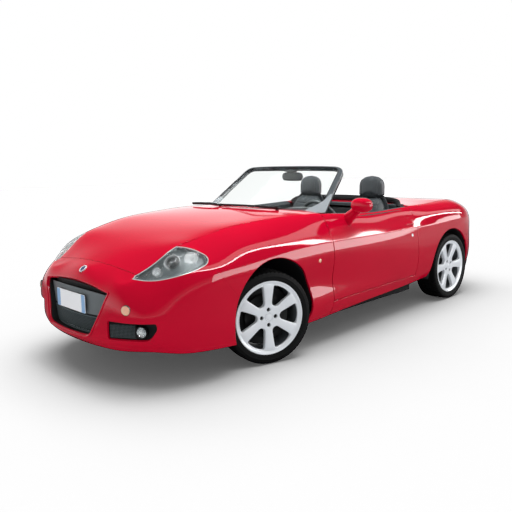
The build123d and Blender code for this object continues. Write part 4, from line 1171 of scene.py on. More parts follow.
bowlParts.append((*turned([(0, -18), (lensR + 4, -18), (lensR + 5, -12), (lensR + 4.4, -8), (lensR + 0.4, -7.6)] + dome,
                          centre, lampAxis), 2))
addPanel("leftHeadlampBezel", bezelLoops, "body", ["headlamps"], twin=True, surface=bezelSurface,
         wall=2.5, mats=(chrome, blackTrim), step=9)
addSolid("leftHeadlampBowls", bowlParts, (bowlPaintedReflection, bulb, darkGlass), "body", ["headlamps"], twin=True)
# The rim round the cover takes the bowls' near white: a painted highlight for its bright edge
rimPath = bodySurface(coverLoopLamp[:, :2]) - lampZ * 2.5
rimPath = rimPath[:-1] if np.linalg.norm(rimPath[0] - rimPath[-1]) < 1 else rimPath
addSolid("leftHeadlampRim", [(*sweep(rimPath, softBox(2.6, 3.2, 8), up=lampZ, endless=True), 0)], (bowlPaintedReflection,), "body",
         ["headlamps"], twin=True)
print("headlamps ready")

# Mouth: body-colour rim, black surround, satin panels beside the plate, split bar and wire mesh below
mouth = {"panelX": 1912.0, "curve": 2500.0, "panelTop": 26.0, "panelFoot": 404.0, "barFoot": 389.0, "rimWide": 6.5,
         "rimHigh": 4.0, "meshPitch": 9.0, "meshWire": 1.5}
grilleX = lambda y: mouth["panelX"] - y * y / mouth["curve"]


def panelSurface(uv):
    # Upright sheet whose depth falls with the square of the distance from the middle.
    return np.column_stack([grilleX(uv[:, 0]), uv])


def spans(outline, at, axis):
    # Where lines at fixed places along one axis cross a closed outline: low and high ends.
    a, b = outline, np.roll(outline, -1, 0)
    q = 1 - axis
    hits = []
    for value in at:
        cross = (a[:, axis] > value) != (b[:, axis] > value)
        share = (value - a[cross, axis]) / (b[cross, axis] - a[cross, axis])
        other = a[cross, q] + share * (b[cross, q] - a[cross, q])
        if len(other) >= 2:
            hits.append((value, other.min(), other.max()))
    return hits


def wireMesh(outline, pitch, wire, place):
    # Crossing wires over an outline drawn flat; place puts (across, up, forward) points into the car.
    low, high = outline.min(0), outline.max(0)
    parts = []
    for axis in (0, 1):
        for value, start, end in spans(outline, np.arange(low[axis] + pitch / 2, high[axis], pitch), axis):
            count = max(int((end - start) / 25), 2)
            run = np.linspace(start, end, count)
            line = np.column_stack([run * 0 + value, run] if axis == 0 else [run, run * 0 + value])
            path = place(np.column_stack([line, np.full(count, wire * (0.6 if axis else -0.6))]))
            parts.append((*sweep(path, circle(wire, count=6), up=(1, 0, 0)), 0))
    return parts


skinMouth, _, _, mouthNormal = derivatives(bodySurface, mouthUV)
mouthFace = skinMouth[:, 1:]
mid = mouthFace.mean(0)
insetLoop = lambda loop, by: loop + unit(mid - loop) * by
inward = np.column_stack([skinMouth[:, 0] * 0, unit(mid - mouthFace)])
outer = skinMouth - mouthNormal * 9
back = insetLoop(mouthFace, -3)
back = np.column_stack([grilleX(back[:, 0]) - 3, back])
surroundRows = [outer, back, back - (6, 0, 0), outer - (3, 0, 0) - inward * 4]
addSolid("mouthSurround", [(*loft(surroundRows, endless=True), 0)], (blackTrim,), "body", ["grille"])

wide = lambda z: np.array([s0[2] for s0 in spans(mouthFlat, [z], 1)])[0] - 6
topAt = lambda y: 575 - 24 * (y / 380) ** 2 - mouth["panelTop"]
ys = np.linspace(-wide(535), wide(535), 30)
upper = np.concatenate([np.column_stack([ys, topAt(ys)]),
                        [(wide(480), 480), (wide(mouth["panelFoot"]), mouth["panelFoot"]),
                         (-wide(mouth["panelFoot"]), mouth["panelFoot"]), (-wide(480), 480)]])
addPanel("grillePanel", [edge(densify(closeLoop(upper), 10)[:-1], 0, 1.5)], "body", ["grille"], surface=panelSurface,
         wall=4, mats=(satinGrey, blackTrim), step=16)
lowerTop = mouth["barFoot"]
zs = np.linspace(lowerTop, 292, 14)
halfW = np.array([wide(z) for z in zs])
lower = np.concatenate([np.column_stack([halfW, zs]), np.column_stack([-halfW, zs])[::-1]])
onSheet = lambda back: (lambda q: np.column_stack([grilleX(q[:, 0]) - back + q[:, 2], q[:, :2]]))
meshGrey = newMaterial("pressedMeshGrey", "4C5357", 0.45, grain=(20, 0, ("4A5557", "586365")))
meshParts = wireMesh(lower, mouth["meshPitch"], mouth["meshWire"], onSheet(4))
frameRun = densify(closeLoop(lower), 12)[:-1]
frameRun = onSheet(3)(np.column_stack([frameRun, frameRun[:, 0] * 0]))
meshParts.append((*sweep(frameRun, softBox(3.5, 3.5, 12), up=(1, 0, 0), endless=True), 0))
addSolid("grilleMesh", meshParts, (meshGrey,), "body", ["grille"])
barZ = (mouth["panelFoot"] + lowerTop) / 2
ys = np.linspace(-wide(barZ) - 2, wide(barZ) + 2, 40)
barPath = np.column_stack([grilleX(ys) - 9, ys, ys * 0 + barZ])
backLoop = densify(closeLoop(insetLoop(mouthFace, -2)), 14)[:-1]
addSolid("grilleBar", [(*sweep(barPath, softBox(4, 9, 16)), 0)], (blackTrim,), "body", ["grille"])
addPanel("grilleBack", [edge(backLoop, 0, 1.0)], "body", ["grille"], surface=lambda uv: panelSurface(uv) - (27, 0, 0),
         wall=3, mats=(blackTrim, blackTrim), step=22)
rimRun = skinMouth - mouthNormal * 0.5 - inward * 13
addSolid("mouthRim", [(*sweep(rimRun, circle(mouth["rimWide"], mouth["rimHigh"], 14), up=(1, 0, 0), endless=True), 0)],
         (paint,), "body", ["front_bumper"])

# Plates: pressed white sheet with pale blue end bands, left blank
plateSize = {"half": 180.0, "low": 406.0, "high": 516.0, "band": 44.0, "bead": 1.4, "thick": 3.0}
plateWhite = newMaterial("retroreflectiveWhite", "FCFDFE", 0.35, grain=(3, 0.01, ("FAFBFD", "FFFFFF")), Coat_Weight=0.3)
plateBlue = newMaterial("retroreflectiveBlue", "8FB7DE", 0.35, grain=(3, 0.01, ("86B0DA", "9ABEE2")), Coat_Weight=0.3)


def addPlate(name, x, facing, half, low, high, band):
    # Flat sheet with a pressed bead round it: height follows a cosine across the bead.
    def sheet(uv):
        off = np.minimum(half - np.abs(uv[:, 0]), np.minimum(uv[:, 1] - low, high - uv[:, 1]))
        bead = plateSize["bead"] * (1 - np.cos(2 * np.pi * np.clip((off - 1.5) / 5, 0, 1))) / 2
        return np.column_stack([x + facing * bead, facing * uv[:, 0], uv[:, 1]])
    loop = softLoop([(-half, low), (half, low), (half, high), (-half, high)], 9, 5)
    verts, groups = trimmed(sheet, [edge(loop, 0, 1.0)], plateSize["thick"], 3.2)
    tri, normals, _ = groups[0]
    blue = np.abs(verts[tri].mean(1)[:, 1]) > half - band
    groups[0:1] = [(tri[~blue], normals[~blue], 0), (tri[blue], normals[blue], 2)]
    finishPiece(addMesh(name, verts, groups, (plateWhite, blackTrim, plateBlue)), "body", ["plates"])


addPlate("frontPlate", 1919.0, 1, plateSize["half"], plateSize["low"], plateSize["high"], plateSize["band"])
addPlate("rearPlate", -1951.0, -1, 260.0, 400.0, 510.0, 34.0)

# Badge: plain turned ring round a blank enamel disc
badgeUV = locate(bodySurface, frontAxes, np.array([[0, 0, 641.0]]), (-60, 60), (560, 678))
badgeAt, badgeN = skinAt(badgeUV)
badgeBlue = newMaterial("vitreousEnamel", "3C4A6B", 0.2, grain=(8, 0, ("36446A", "465479")), Coat_Weight=1.0)
badgeRing = [(0, -6), (27, -6), (27, 2), (25.5, 4.4), (23, 5), (20.5, 4.2), (19.5, 2.6), (0, 2.6)]
addSolid("noseBadge", [(*turned(badgeRing, badgeAt, badgeN, 48), 0),
                       (*turned([(0, 1), (19.4, 1), (19.4, 2.9), (12, 3.7), (0, 4)], badgeAt, badgeN, 40), 1)],
         (silver, badgeBlue), "body")

# Fog slots: surround, mesh over the inner part and a round lamp in the outer part
fogN = np.cross(fogRun, (0, 0, 1.0))
fog = {"deep": 30.0, "lampAt": 62.0, "lampR": 34.0, "split": 18.0}
skinFog, _, _, fogNormal = derivatives(bodySurface, fogUV)
fogMid = fogFlat.mean(0)


def onFog(back):
    # Places from along, up and out of the fog slot's plane, set back behind the skin.
    return lambda q: fogAt + q[:, :1] * fogRun + q[:, 1:2] * np.array([0, 0, 1.0]) + (q[:, 2:] - back) * fogN


growFog = lambda by: fogFlat + unit(fogFlat - fogMid) * by
flatRow = lambda loop, back: onFog(back)(np.column_stack([loop, loop[:, 0] * 0]))
fogRows = [skinFog - fogNormal * 9, flatRow(growFog(1), fog["deep"]), flatRow(growFog(1), fog["deep"] + 3),
           flatRow(growFog(5), fog["deep"] + 3),
           skinFog - fogNormal * 12 + (flatRow(growFog(5), 0) - flatRow(growFog(0), 0))]
fogParts = [(*loft(fogRows, endless=True), 0)]
plateRows = [flatRow(growFog(2), fog["deep"] + 2), flatRow(growFog(2), fog["deep"] + 5)]
fogParts.append((*loft(plateRows), 0))
dividerRows = [onFog(back)(np.array([(x, z, 0.0) for x, z in ((fog["split"] - 2, -40), (fog["split"] + 2, -40),
                                                              (fog["split"] + 2, 40), (fog["split"] - 2, 40))]))
               for back in (fog["deep"] + 2, 8)]
fogParts.append((*loft(dividerRows), 0))
innerFog = np.array([(-144, 38), (fog["split"], 38), (fog["split"], -38), (-144, -38)], float)
fogMesh = wireMesh(innerFog, 8.0, 1.3, onFog(fog["deep"] - 12))
lampSpot = fogAt + (fog["lampAt"] - 12) * fogRun - fogN * 8
r0 = fog["lampR"]
bezel = [(0, -24), (r0 + 1, -24), (r0 + 2.5, -2), (r0 + 1, 3), (r0 - 1.5, 4), (r0 - 4, 2), (r0 - 5, -3)]
bezel += [((r0 - 5) * q, -3 - 17 * (1 - q * q)) for q in np.linspace(0.96, 0.1, 8)] + [(0, -20)]
lens = [(0, -2.5), (r0 - 5.4, -4), (r0 - 5.2, -1.5)]
lens += [((r0 - 5.4) * np.cos(a), 5 * np.sin(a) - 1) for a in np.linspace(0.1, 1.45, 8)] + [(0, 4.0)]
fogCup = lambda rim, steps: [((r0 - 5.5) * q, rim - 15.5 * (1 - q * q)) for q in steps]
fogShell = [(0, -20.2)] + fogCup(-4.6, np.linspace(0.1, 1, 10)) + fogCup(-3.4, np.linspace(1, 0.1, 10)) + [(0, -18.9)]
addSolid("leftFogSurround", fogParts, (blackTrim,), "body", ["grille"], twin=True)
addSolid("leftFogMesh", fogMesh, (meshGrey,), "body", ["grille"], twin=True)
addSolid("leftFogLamp", [(*turned(bezel, lampSpot, fogN), 0), (*turned(fogShell, lampSpot, fogN), 1),
                         (*turned([(0, -19), (6, -19), (6, -8), (4, -5), (0, -4)], lampSpot, fogN, 20), 2)],
         (blackTrim, mirrorMetal, bulb), "body", ["front_lamps"], twin=True)
addSolid("leftFogLens", [(*turned(lens, lampSpot, fogN), 0)], (lampClear,), "body", ["front_lamps"],
         twin=True)

# Turn signals: ribbed amber dome in a bright ring
amber = newMaterial("amberAcrylic", "F6C09C", 0.12, grain=(12, 0.4, ("F0B08A", "FBD2B6")), Coat_Weight=1.0,
                    Subsurface_Weight=0.3, Subsurface_Scale=0.01)
turnN = np.cross(indicatorRun, (0, 0, 1.0))
turnAt = bodySurface(indicatorUV).mean(0)
ribs = [(26.5 * q, 3.5 + 6 * (1 - q * q) + 0.5 * np.cos(q * 30)) for q in np.linspace(1, 0.06, 26)]
addSolid("leftTurnSignal", [(*turned([(0, -14), (26.8, -14), (26.8, 2)] + ribs + [(0, 10)], turnAt, turnN), 0),
                            (*turned([(26.5, -12), (28.6, -12), (28.6, 1.5), (27.8, 3), (26.8, 3)], turnAt, turnN,
                                     endless=True), 1)],
         (amber, chrome), "body", ["front_lamps"], twin=True)
print("front ready")

# Windscreen: ruled between a foot arc and a header arc
screen = {"footZ": 918.0, "footMid": 560.0, "footSide": (275.0, 655.0), "topZ": 1240.0, "topMid": -22.0,
          "topSide": (-80.0, 550.0), "pillar": 36.0, "header": 26.0, "crown": 12.0, "cornerRadius": 104.0,
          "frameDeep": 36.0, "glass": 5.0, "glassBack": 14.0}
c = screen
slant = np.hypot(c["topZ"] - c["footZ"], c["footMid"] - c["topMid"])


def arcX(y, mid, side):
    # Circle through the middle point and both side points, read at y.
    drop = mid - side[0]
    radius = (side[1] ** 2 + drop ** 2) / (2 * drop)
    return mid - radius + np.sqrt(radius ** 2 - y ** 2)


def screenSurface(uv, back=0.0):
    # u runs across from right to left, v up the slant; each height is a share of the way between the arcs.
    t = (uv[:, 1] / slant)[:, None]
    across = uv[:, 0] / 600
    yFoot, yTop = across * c["footSide"][1], across * c["topSide"][1]
    foot = np.column_stack([arcX(yFoot, c["footMid"], c["footSide"]), yFoot, yFoot * 0 + c["footZ"]])
    top = np.column_stack([arcX(yTop, c["topMid"], c["topSide"]), yTop, c["topZ"] - c["crown"] * np.abs(across) ** 3])
    return foot + (top - foot) * t + np.array([10.0 - back, 0, 0])


def screenLoop(inset, top, radius, low=-2.0):
    # Outline of the screen with rounded upper corners; the sides stand in by an inset at foot and top.
    k0, k1 = inset / c["footSide"][1] * 600, inset / c["topSide"][1] * 600
    side = lambda v: 600 - k0 - (k1 - k0) * v / slant
    corners = [(side(low), low), (side(slant - top), slant - top), (-side(slant - top), slant - top), (-side(low), low)]
    return softLoop(corners, (4, radius, radius, 4), 14, 12)


framePath = screenLoop(0, 0.5, c["cornerRadius"], -36)
innerPath = screenLoop(c["pillar"], c["header"], c["cornerRadius"] * 0.72, 26)
addPanel("windscreenFrame", [edge(framePath, 0, 7.0), edge(innerPath, 0, 3.0)], "body", ["windscreen_frame"],
         surface=screenSurface, wall=c["frameDeep"], mats=(frameGrey, frameGrey), step=18)
glassPath = screenLoop(c["pillar"] - 5, c["header"] - 5, c["cornerRadius"] * 0.72, 20)
addPanel("windscreenGlass", [edge(glassPath, 0, 1.0)], "body", ["windscreen_glass"],
         surface=lambda uv: screenSurface(uv, c["glassBack"]), wall=c["glass"], mats=(glass, glass), step=24)
sealRun = screenSurface(innerPath, 4)
addSolid("windscreenSeal", [(*sweep(sealRun, softBox(3, 3, 10), up=(1, 0, 0.3), endless=True), 0)], (blackTrim,),
         "body")

# Cover on the foot of each pillar in a lighter grey: the screen's own surface stood off a little
sailGrey = newMaterial("lightGreyEnamel", "868D92", 0.32, grain=(60, 0, ("80878C", "8C9398")), Coat_Weight=0.5,
                       Coat_Roughness=0.08)
sailLoop = softLoop([(601, -30), (600, 60), (598, 240), (585, 245), (562, 120), (500, 22), (480, -30)],
                    (4, 4, 6, 6, 60, 40, 4), 12)
addPanel("leftPillarCover", [edge(sailLoop, 0, 3.0)], "body", [], twin=True,
         surface=lambda uv: screenSurface(uv, -3.5), wall=c["frameDeep"] + 6, mats=(sailGrey, sailGrey), step=14)


# Interior mirror: rounded glass in a housing on a broad header bracket
def softBlock(centre, half, power=3.2, axes=None, rows=15):
    # Rounded block: superellipse sections whose size eases off towards both ends like a superellipse.
    t = np.linspace(-1, 1, rows)
    size = np.clip(1 - np.abs(t) ** (power / 0.64), 0.02, 1) ** (1 / 2.4)
    section = softBox(1, 1, 32, power)
    rowsOut = [np.column_stack([section[:, 0] * half[0] * k, np.full(32, half[1] * q), section[:, 1] * half[2] * k])
               for q, k in zip(t, size)]
    verts, faces = loft(rowsOut)
    if axes is not None:
        verts = verts @ np.asarray(axes)
    return verts + np.asarray(centre, float), faces


mirrorGlass = newMaterial("silveredGlass", "C9CFD2", 0.03, 1.0, grain=(300, 0, ("C4CACD", "CFD5D8")))
trimGrey = newMaterial("slateGreyAbs", "2F3336", 0.5, grain=(1.8, 0.08, ("2A2E31", "34383B"), (0.45, 0.58)))
bracketRows = [np.column_stack([np.full(28, x), s1[:, 0], s1[:, 1] + z]) for x, z, s1 in (
    (-22, 1212, softBox(74, 15, 28)), (-40, 1206, softBox(76, 19, 28)), (-58, 1200, softBox(60, 18, 28)),
    (-66, 1196, softBox(40, 14, 28)))]
addSolid("interiorMirror", [(*softBlock((-62, 0, 1148), (14, 118, 36), 3.6), 0), (*loft(bracketRows), 0),
                            (*sweep(smoothPath([(-52, 0, 1196), (-54, 0, 1180), (-60, 0, 1160)], 8),
                                    circle(11, count=14), up=(0, 1, 0)), 0),
                            (*loft([np.column_stack([np.full(40, x), q[:, 0], q[:, 1] + 1151]) for x, q in (
                                (-72.6, softBox(101, 27, 40, 3.6)), (-74.4, softBox(100, 26, 40, 3.6)))]), 1)],
         (trimGrey, mirrorGlass), "body", ["interior_mirror"])


# Wipers: arm, hinge cap and rubber blade lying along the foot of the glass
def addWiper(name, pivot, tip, bladeStart, bladeEnd):
    # Arm and blade bowed up in their middle, with a rubber lip under the blade and a cap on the pivot.
    armPath = smoothPath([pivot, ((pivot[0] * 0.6 + tip[0] * 0.4) + 10, pivot[1] * 0.6 + tip[1] * 0.4, 951), tip], 24)
    bladePath = smoothPath([bladeStart, ((bladeStart[0] + bladeEnd[0]) / 2 + 9, (bladeStart[1] + bladeEnd[1]) / 2, 950),
                            bladeEnd], 30)
    bow = 0.55 + 0.5 * np.sin(np.linspace(0.25, np.pi - 0.25, 30))
    parts = [(*sweep(armPath, softBox(11, 5.5, 12), scale=np.linspace(1.2, 0.8, 24)), 0),
             (*sweep(bladePath, softBox(8.5, 7, 12), scale=bow), 0),
             (*sweep(bladePath + (-5, 0, -7), softBox(5, 3, 8)), 1),
             (*turned([(0, -16), (13, -16), (14, 6), (11, 12), (0, 14)], pivot, (0, 0, 1), 24), 0)]
    addSolid(name, parts, (blackTrim, rubber), "body", ["wipers"])


addWiper("leftWiper", (524, 392, 938), (592, 60, 950), (540, 420, 946), (574, -170, 950))
addWiper("rightWiper", (532, -236, 938), (590, -410, 950), (596, -190, 950), (556, -566, 944))

# Door mirror: an egg-shaped shell on a tapered stalk, its glass facing back
head = {"at": (185.0, 900, 958), "half": (50.0, 84, 52)}
t = np.linspace(-1, 1, 23)
eggRows = []
for q in t:
    size = np.sqrt(np.clip(1 - np.abs(q) ** 2.6, 0, 1)) * 0.995 + 0.005
    oval = softBox(1, 1, 36, 2.5)
    front = np.where(oval[:, 0] > 0, 1.0, 0.62)
    eggRows.append(np.column_stack([oval[:, 0] * head["half"][0] * size * front, np.full(36, q * head["half"][1]),
                                    oval[:, 1] * head["half"][2] * size]))
toeIn = np.radians(8)
turnHead = np.array([[np.cos(toeIn), np.sin(toeIn), 0], [-np.sin(toeIn), np.cos(toeIn), 0], [0, 0, 1]])
eggVerts, eggFaces = loft(eggRows)
glassRows = [np.column_stack([np.full(36, x), q[:, 0], q[:, 1]])
             for x, q in ((-29.5, softBox(62, 34, 36, 2.8)), (-34, softBox(61, 33, 36, 2.8)))]
glassVerts, glassFaces = loft(glassRows)
rimRows = sweep(np.column_stack([np.full(48, -31.0), softBox(66, 38, 48, 2.8)]), softBox(5, 4, 10), up=(1, 0, 0),
                endless=True)
stalkPath = smoothPath([(140, 716, 826), (144, 752, 858), (160, 808, 896), (180, 870, 938)], 18)
widths = np.column_stack([2.6 - 1.1 * np.linspace(0, 1, 18) ** 0.7, np.linspace(1.6, 1.1, 18)])
addSolid("leftMirrorShell", [(eggVerts @ turnHead + head["at"], eggFaces, 0),
                             (rimRows[0] @ turnHead + head["at"], rimRows[1], 1),
                             (*sweep(stalkPath, softBox(20, 15, 24, 2.4), scale=widths, up=(1, 0, 0)), 0)],
         (paint, blackTrim), "door_l", ["mirror_l"])
addSolid("leftMirrorGlass", [(glassVerts @ turnHead + head["at"], glassFaces, 0)], (mirrorGlass,), "door_l",
         ["mirror_l"])


# Side repeater behind the front wheel and the lock on the left door
def onSkin(x, z):
    # Point and outward normal of the left flank at x and z.
    return skinAt(sideGuess(np.array([float(x)]), np.array([float(z)])))


spotAt, spotN = onSkin(543, 602)
addSolid("leftRepeater", [(*turned([(0, -6), (13, -6), (13, 1.4), (11, 2.6), (6, 3.6), (0, 4)], spotAt, spotN, 32), 0)],
         (amber,), "body", twin=True)
spotAt, spotN = onSkin(-643, 653)
lockProfile = [(0, -5), (13, -5), (13, 1), (11.5, 2.2), (9.5, 1.4), (4, 1.4), (3.6, 0.4), (0, 0.4)]
addSolid("leftDoorLock", [(*turned(lockProfile, spotAt, spotN, 32), 0)], (silver,), "door_l",
         twin=True)

# Recessed door handle: a painted flap in a shallow dish
spotAt, spotN = onSkin(-640, 742)
handleRows = [np.column_stack([spotAt[0] + q[:, 0], np.full(30, spotAt[1] + off), spotAt[2] + q[:, 1] - off * 0.25])
              for off, q in ((-9, softBox(56, 15, 30, 3)), (0.5, softBox(56, 15, 30, 3)),
                             (3.5, softBox(52, 12, 30, 3)))]
addSolid("leftDoorHandle", [(*loft(handleRows), 0)], (paint,), "door_l", twin=True)
print("screen and mirrors ready")

# Door trims: moulded inner panel with armrest and pocket, and a padded roll along the top
leather = newMaterial("slateGreyLeather", "565C60", 0.42, Coat_Weight=0.12, Coat_Roughness=0.35)
leatherShader = leather.node_tree.nodes["Principled BSDF"]
place = addNode(leather, "ShaderNodeTexCoord")
pores = addNode(leather, "ShaderNodeTexVoronoi", {"Vector": place.outputs["Object"], "Scale": 1000 / 2.6},
                feature="DISTANCE_TO_EDGE")
folds = addNode(leather, "ShaderNodeTexNoise", {"Vector": place.outputs["Object"], "Scale": 1000 / 45, "Detail": 5.0})
relief = addNode(leather, "ShaderNodeBump", {"Height": pores.outputs["Distance"], "Strength": 0.55, "Distance": 0.0006})
wrinkle = addNode(leather, "ShaderNodeBump", {"Height": folds.outputs["Fac"], "Strength": 0.6, "Distance": 0.004,
                                              "Normal": relief.outputs["Normal"]})
leather.node_tree.links.new(wrinkle.outputs["Normal"], leatherShader.inputs["Normal"])
tone = addNode(leather, "ShaderNodeMix", {0: folds.outputs["Fac"]}, data_type="RGBA")
tone.inputs[6].default_value, tone.inputs[7].default_value = linear("33383B"), linear("454A4D")
leather.node_tree.links.new(tone.outputs[2], leatherShader.inputs["Base Color"])
wear = addNode(leather, "ShaderNodeMapRange", {"Value": folds.outputs["Fac"], "To Min": 0.4, "To Max": 0.56})
leather.node_tree.links.new(wear.outputs["Result"], leatherShader.inputs["Roughness"])
carpet = newMaterial("loopPileCarpet", "1C1D1F", 0.95, grain=(3.5, 1.2, ("151617", "26272A"), None, 6.0),
                     Sheen_Weight=0.25)


def trimFace(uv):
    # Inner face of the door: an armrest swells out on a bell curve and a pocket below it sinks in.
    x, z = uv[:, 0], uv[:, 1]
    swell = 34 * np.exp(-((z - 610) / 42) ** 2) * np.clip((x + 560) / 120, 0, 1) * np.clip((150 - x) / 160, 0, 1)
    pocket = 9 * np.exp(-((z - 430) / 60) ** 2) * np.exp(-((x + 120) / 260) ** 4)
    dish = 6 * np.exp(-((z - 745) / 45) ** 2)
    y = 674 - swell + pocket + dish - 14 * np.clip((z - 800) / 70, 0, 1)
    return np.column_stack([x, y, z])


trimCorners = [(-715, 312), (180, 312), (270, 420), (295, 640), (262, 845), (-600, 852), (-690, 840), (-715, 600)]
trimOutline = softLoop(trimCorners, (20, 40, 60, 40, 20, 20, 30, 30), 15)
addPanel("leftDoorTrim", [edge(trimOutline, 0, 4.0)], "door_l", ["door_l"], twin=True, surface=trimFace, wall=60,
         mats=(trimGrey, blackTrim), step=18)
crestLeft = lambda x: bodySurface(np.array([[crestAtX(x, u9 - 60, u11 + 60), crestV]]))[0]
rollX = np.linspace(262, -712, 26)
rollTop = np.array([crestLeft(x) for x in rollX])
rollRows = []
for (x, y, z) in rollTop:
    inY = 652.0
    t = np.linspace(0, 1, 13)
    overX = np.full(13, x)
    overY = y + 2 - (y + 2 - inY) * t
    overZ = z - 8 + 10 * np.sin(np.pi * np.clip(t * 1.15, 0, 1)) - 20 * t ** 3
    back = np.column_stack([np.full(4, x), [inY + 4, 675, y - 14, y + 1], [z - 62, z - 66, z - 60, z - 30]])
    rollRows.append(np.vstack([np.column_stack([overX, overY, overZ]), back]))
addSolid("leftDoorTopRoll", [(*loft(rollRows), 0)], (leather,), "door_l", ["door_l"], twin=True)
pullPath = smoothPath([(40, 640, 700), (10, 622, 712), (-90, 616, 716), (-190, 622, 712), (-220, 640, 700)], 30)
addSolid("leftDoorPull", [(*sweep(pullPath, softBox(9, 12, 16, 2.6)), 0),
                          (*turned([(0, 0), (58, 0), (60, 4), (56, 8), (0, 6)], (120, 668, 400), (0, -1, 0.1), 40), 1),
                          (*softBlock((170, 655, 720), (34, 7, 14)), 1)],
         (leather, blackTrim), "door_l", twin=True)
print("doors ready")

# Seats: cushion, backrest and headrest padded by a cloth simulation, in a moulded shell
seat = {"y": 357.0, "half": 206.0, "voxel": 8.0, "frames": 20, "pressure": 4.0, "cap": 22.0, "seam": 4.5,
        "seamWide": 5.0, "cushionSeam": 132.0, "backSeam": 128.0, "headSeam": 84.0}


def padFromRows(name, rows):
    # Plain closed pad lofted over its sections, ready to be puffed.
    verts, faces = loft(rows)
    if enclosed(verts, faces) < 0:
        faces = [f[:, ::-1] for f in faces]
    return addMesh(name, verts, [(f, None, 0) for f in faces], (leather,))


def padRing(count, power):
    # Cosine and sine round a section, each on a power below one so that the section fills its corners.
    t = np.linspace(0, 2 * np.pi, count, endpoint=False)
    return [np.sign(q) * np.abs(q) ** power for q in (np.cos(t), np.sin(t))]


def padCushion(x):
    # Section across the cushion: bolsters rise at both sides on the fifth power of the width.
    y, up = padRing(44, 0.6)
    share = (x + 560) / 490
    top = 395 + 22 * np.sin(np.pi * np.clip(share * 1.15, 0, 1)) + 10 * share
    ends = np.clip(1 - np.abs(2 * share - 1) ** 7, 0.03, 1) ** 0.5
    half = (seat["half"] - 8 + 4 * share) * (0.93 + 0.07 * ends)
    z = np.where(up > 0, 350 + (top - 350) * up * ends + 34 * ends * np.abs(y) ** 5 * up, 350 + 62 * up * ends)
    return np.column_stack([np.full(44, x), half * y, z])


def padBack(share):
    # Section across the backrest at a share of its height, bolsters forward at both sides.
    y, ahead = padRing(44, 0.6)
    ends = np.clip(1 - np.abs(2 * share - 1) ** 6, 0.03, 1) ** 0.5
    base = np.array([-548, 0, 420]) + share * np.array([-150, 0, 545])
    half = (seat["half"] - 6) * (1 - 0.42 * np.clip((share - 0.6) / 0.4, 0, 1) ** 2.6) * (0.9 + 0.1 * ends)
    along = unit(np.array([-150, 0, 545.0]))
    front = np.array([along[2], 0, -along[0]])
    deep = np.where(ahead > 0, (44 + 8 * np.sin(np.pi * share)) * ahead * ends + 32 * ends * np.abs(y) ** 5 * ahead
                    * (1 - 0.6 * share), 26 * ahead * ends)
    return base + np.column_stack([deep * front[0], half * y, deep * front[2]])


def padHead(share):
    # Headrest section: a tombstone shape that narrows and rounds over towards its top.
    y, ahead = padRing(32, 0.7)
    low = np.clip((share + 0.02) / 0.1, 0.35, 1) ** 0.5
    high = np.sqrt(np.clip(1 - np.clip((share - 0.35) / 0.65, 0, 1) ** 3.2, 0.002, 1))
    half = 124 * low * high
    deep = 42 * low * high ** 0.8
    return np.column_stack([-698 - 8 * share + deep * ahead, half * y, np.full(32, 955 + 184 * share)])


def puffed(obj, cap):
    # Voxel remesh, then cloth under pressure without gravity; no point moves farther than the cap.
    bpy.context.view_layer.objects.active = obj
    obj.data.remesh_voxel_size = seat["voxel"] / 1000
    bpy.ops.object.select_all(action="DESELECT")
    obj.select_set(True)
    bpy.ops.object.voxel_remesh()
    mesh = obj.data
    before = np.empty(len(mesh.vertices) * 3)
    mesh.vertices.foreach_get("co", before)
    cloth = obj.modifiers.new("cloth", "CLOTH")
    cloth.settings.use_pressure = True
    cloth.settings.uniform_pressure_force = seat["pressure"]
    cloth.settings.effector_weights.gravity = 0.0
    cloth.settings.quality = 5
    cloth.collision_settings.use_collision = False
    scene0 = bpy.context.scene
    for step in range(1, seat["frames"] + 1):
        scene0.frame_set(step)
    ready = obj.evaluated_get(bpy.context.evaluated_depsgraph_get())
    after = np.empty(len(before))
    ready.data.vertices.foreach_get("co", after)
    obj.modifiers.remove(cloth)
    scene0.frame_set(1)
    move = (after - before).reshape(-1, 3)
    far = np.linalg.norm(move, axis=1, keepdims=True)
    move *= np.minimum(1, cap / 1000 / np.maximum(far, 1e-9))
    mesh.vertices.foreach_set("co", before + move.ravel())
    smooth = obj.modifiers.new("subdivision", "SUBSURF")
    smooth.levels = smooth.render_levels = 1
    dep = bpy.context.evaluated_depsgraph_get()
    final = bpy.data.meshes.new_from_object(obj.evaluated_get(dep))
    obj.modifiers.clear()
    old = obj.data
    obj.data = final
    bpy.data.meshes.remove(old)
    return obj


def sewn(obj, grooves):
    # Presses each seam into the pad: a bell-shaped groove across the seam's signed distance.
    mesh = obj.data
    count = len(mesh.vertices)
    co, no = np.empty(count * 3), np.empty(count * 3)
    mesh.vertices.foreach_get("co", co)
    mesh.vertices.foreach_get("normal", no)
    co, no = co.reshape(-1, 3), no.reshape(-1, 3)
    p = co * 1000 - (0, centreY, 0)
    depth = np.zeros(count)
    for distance, mask in grooves(p, no):
        depth = np.maximum(depth, seat["seam"] * np.exp(-(distance / seat["seamWide"]) ** 2) * mask)
    mesh.vertices.foreach_set("co", (co - no * depth[:, None] / 1000).ravel())
    mesh.polygons.foreach_set("use_smooth", [True] * len(mesh.polygons))
    mesh.update()


def cushionSeams(p, n):
    # Two lengthwise seams, four bowed cross seams and the piping round the side.
    top = np.clip(n[:, 2] * 2, 0, 1)
    side = seat["cushionSeam"]
    inner = (np.abs(p[:, 1]) < side).astype(float)
    yield np.abs(p[:, 1]) - side, top * (p[:, 0] < -110)
    for x in (-440, -350, -260, -170):
        yield p[:, 0] - x + 14 * (p[:, 1] / side) ** 2, top * inner
    yield p[:, 2] - 352, np.clip(1 - np.abs(n[:, 2]) * 2, 0, 1)


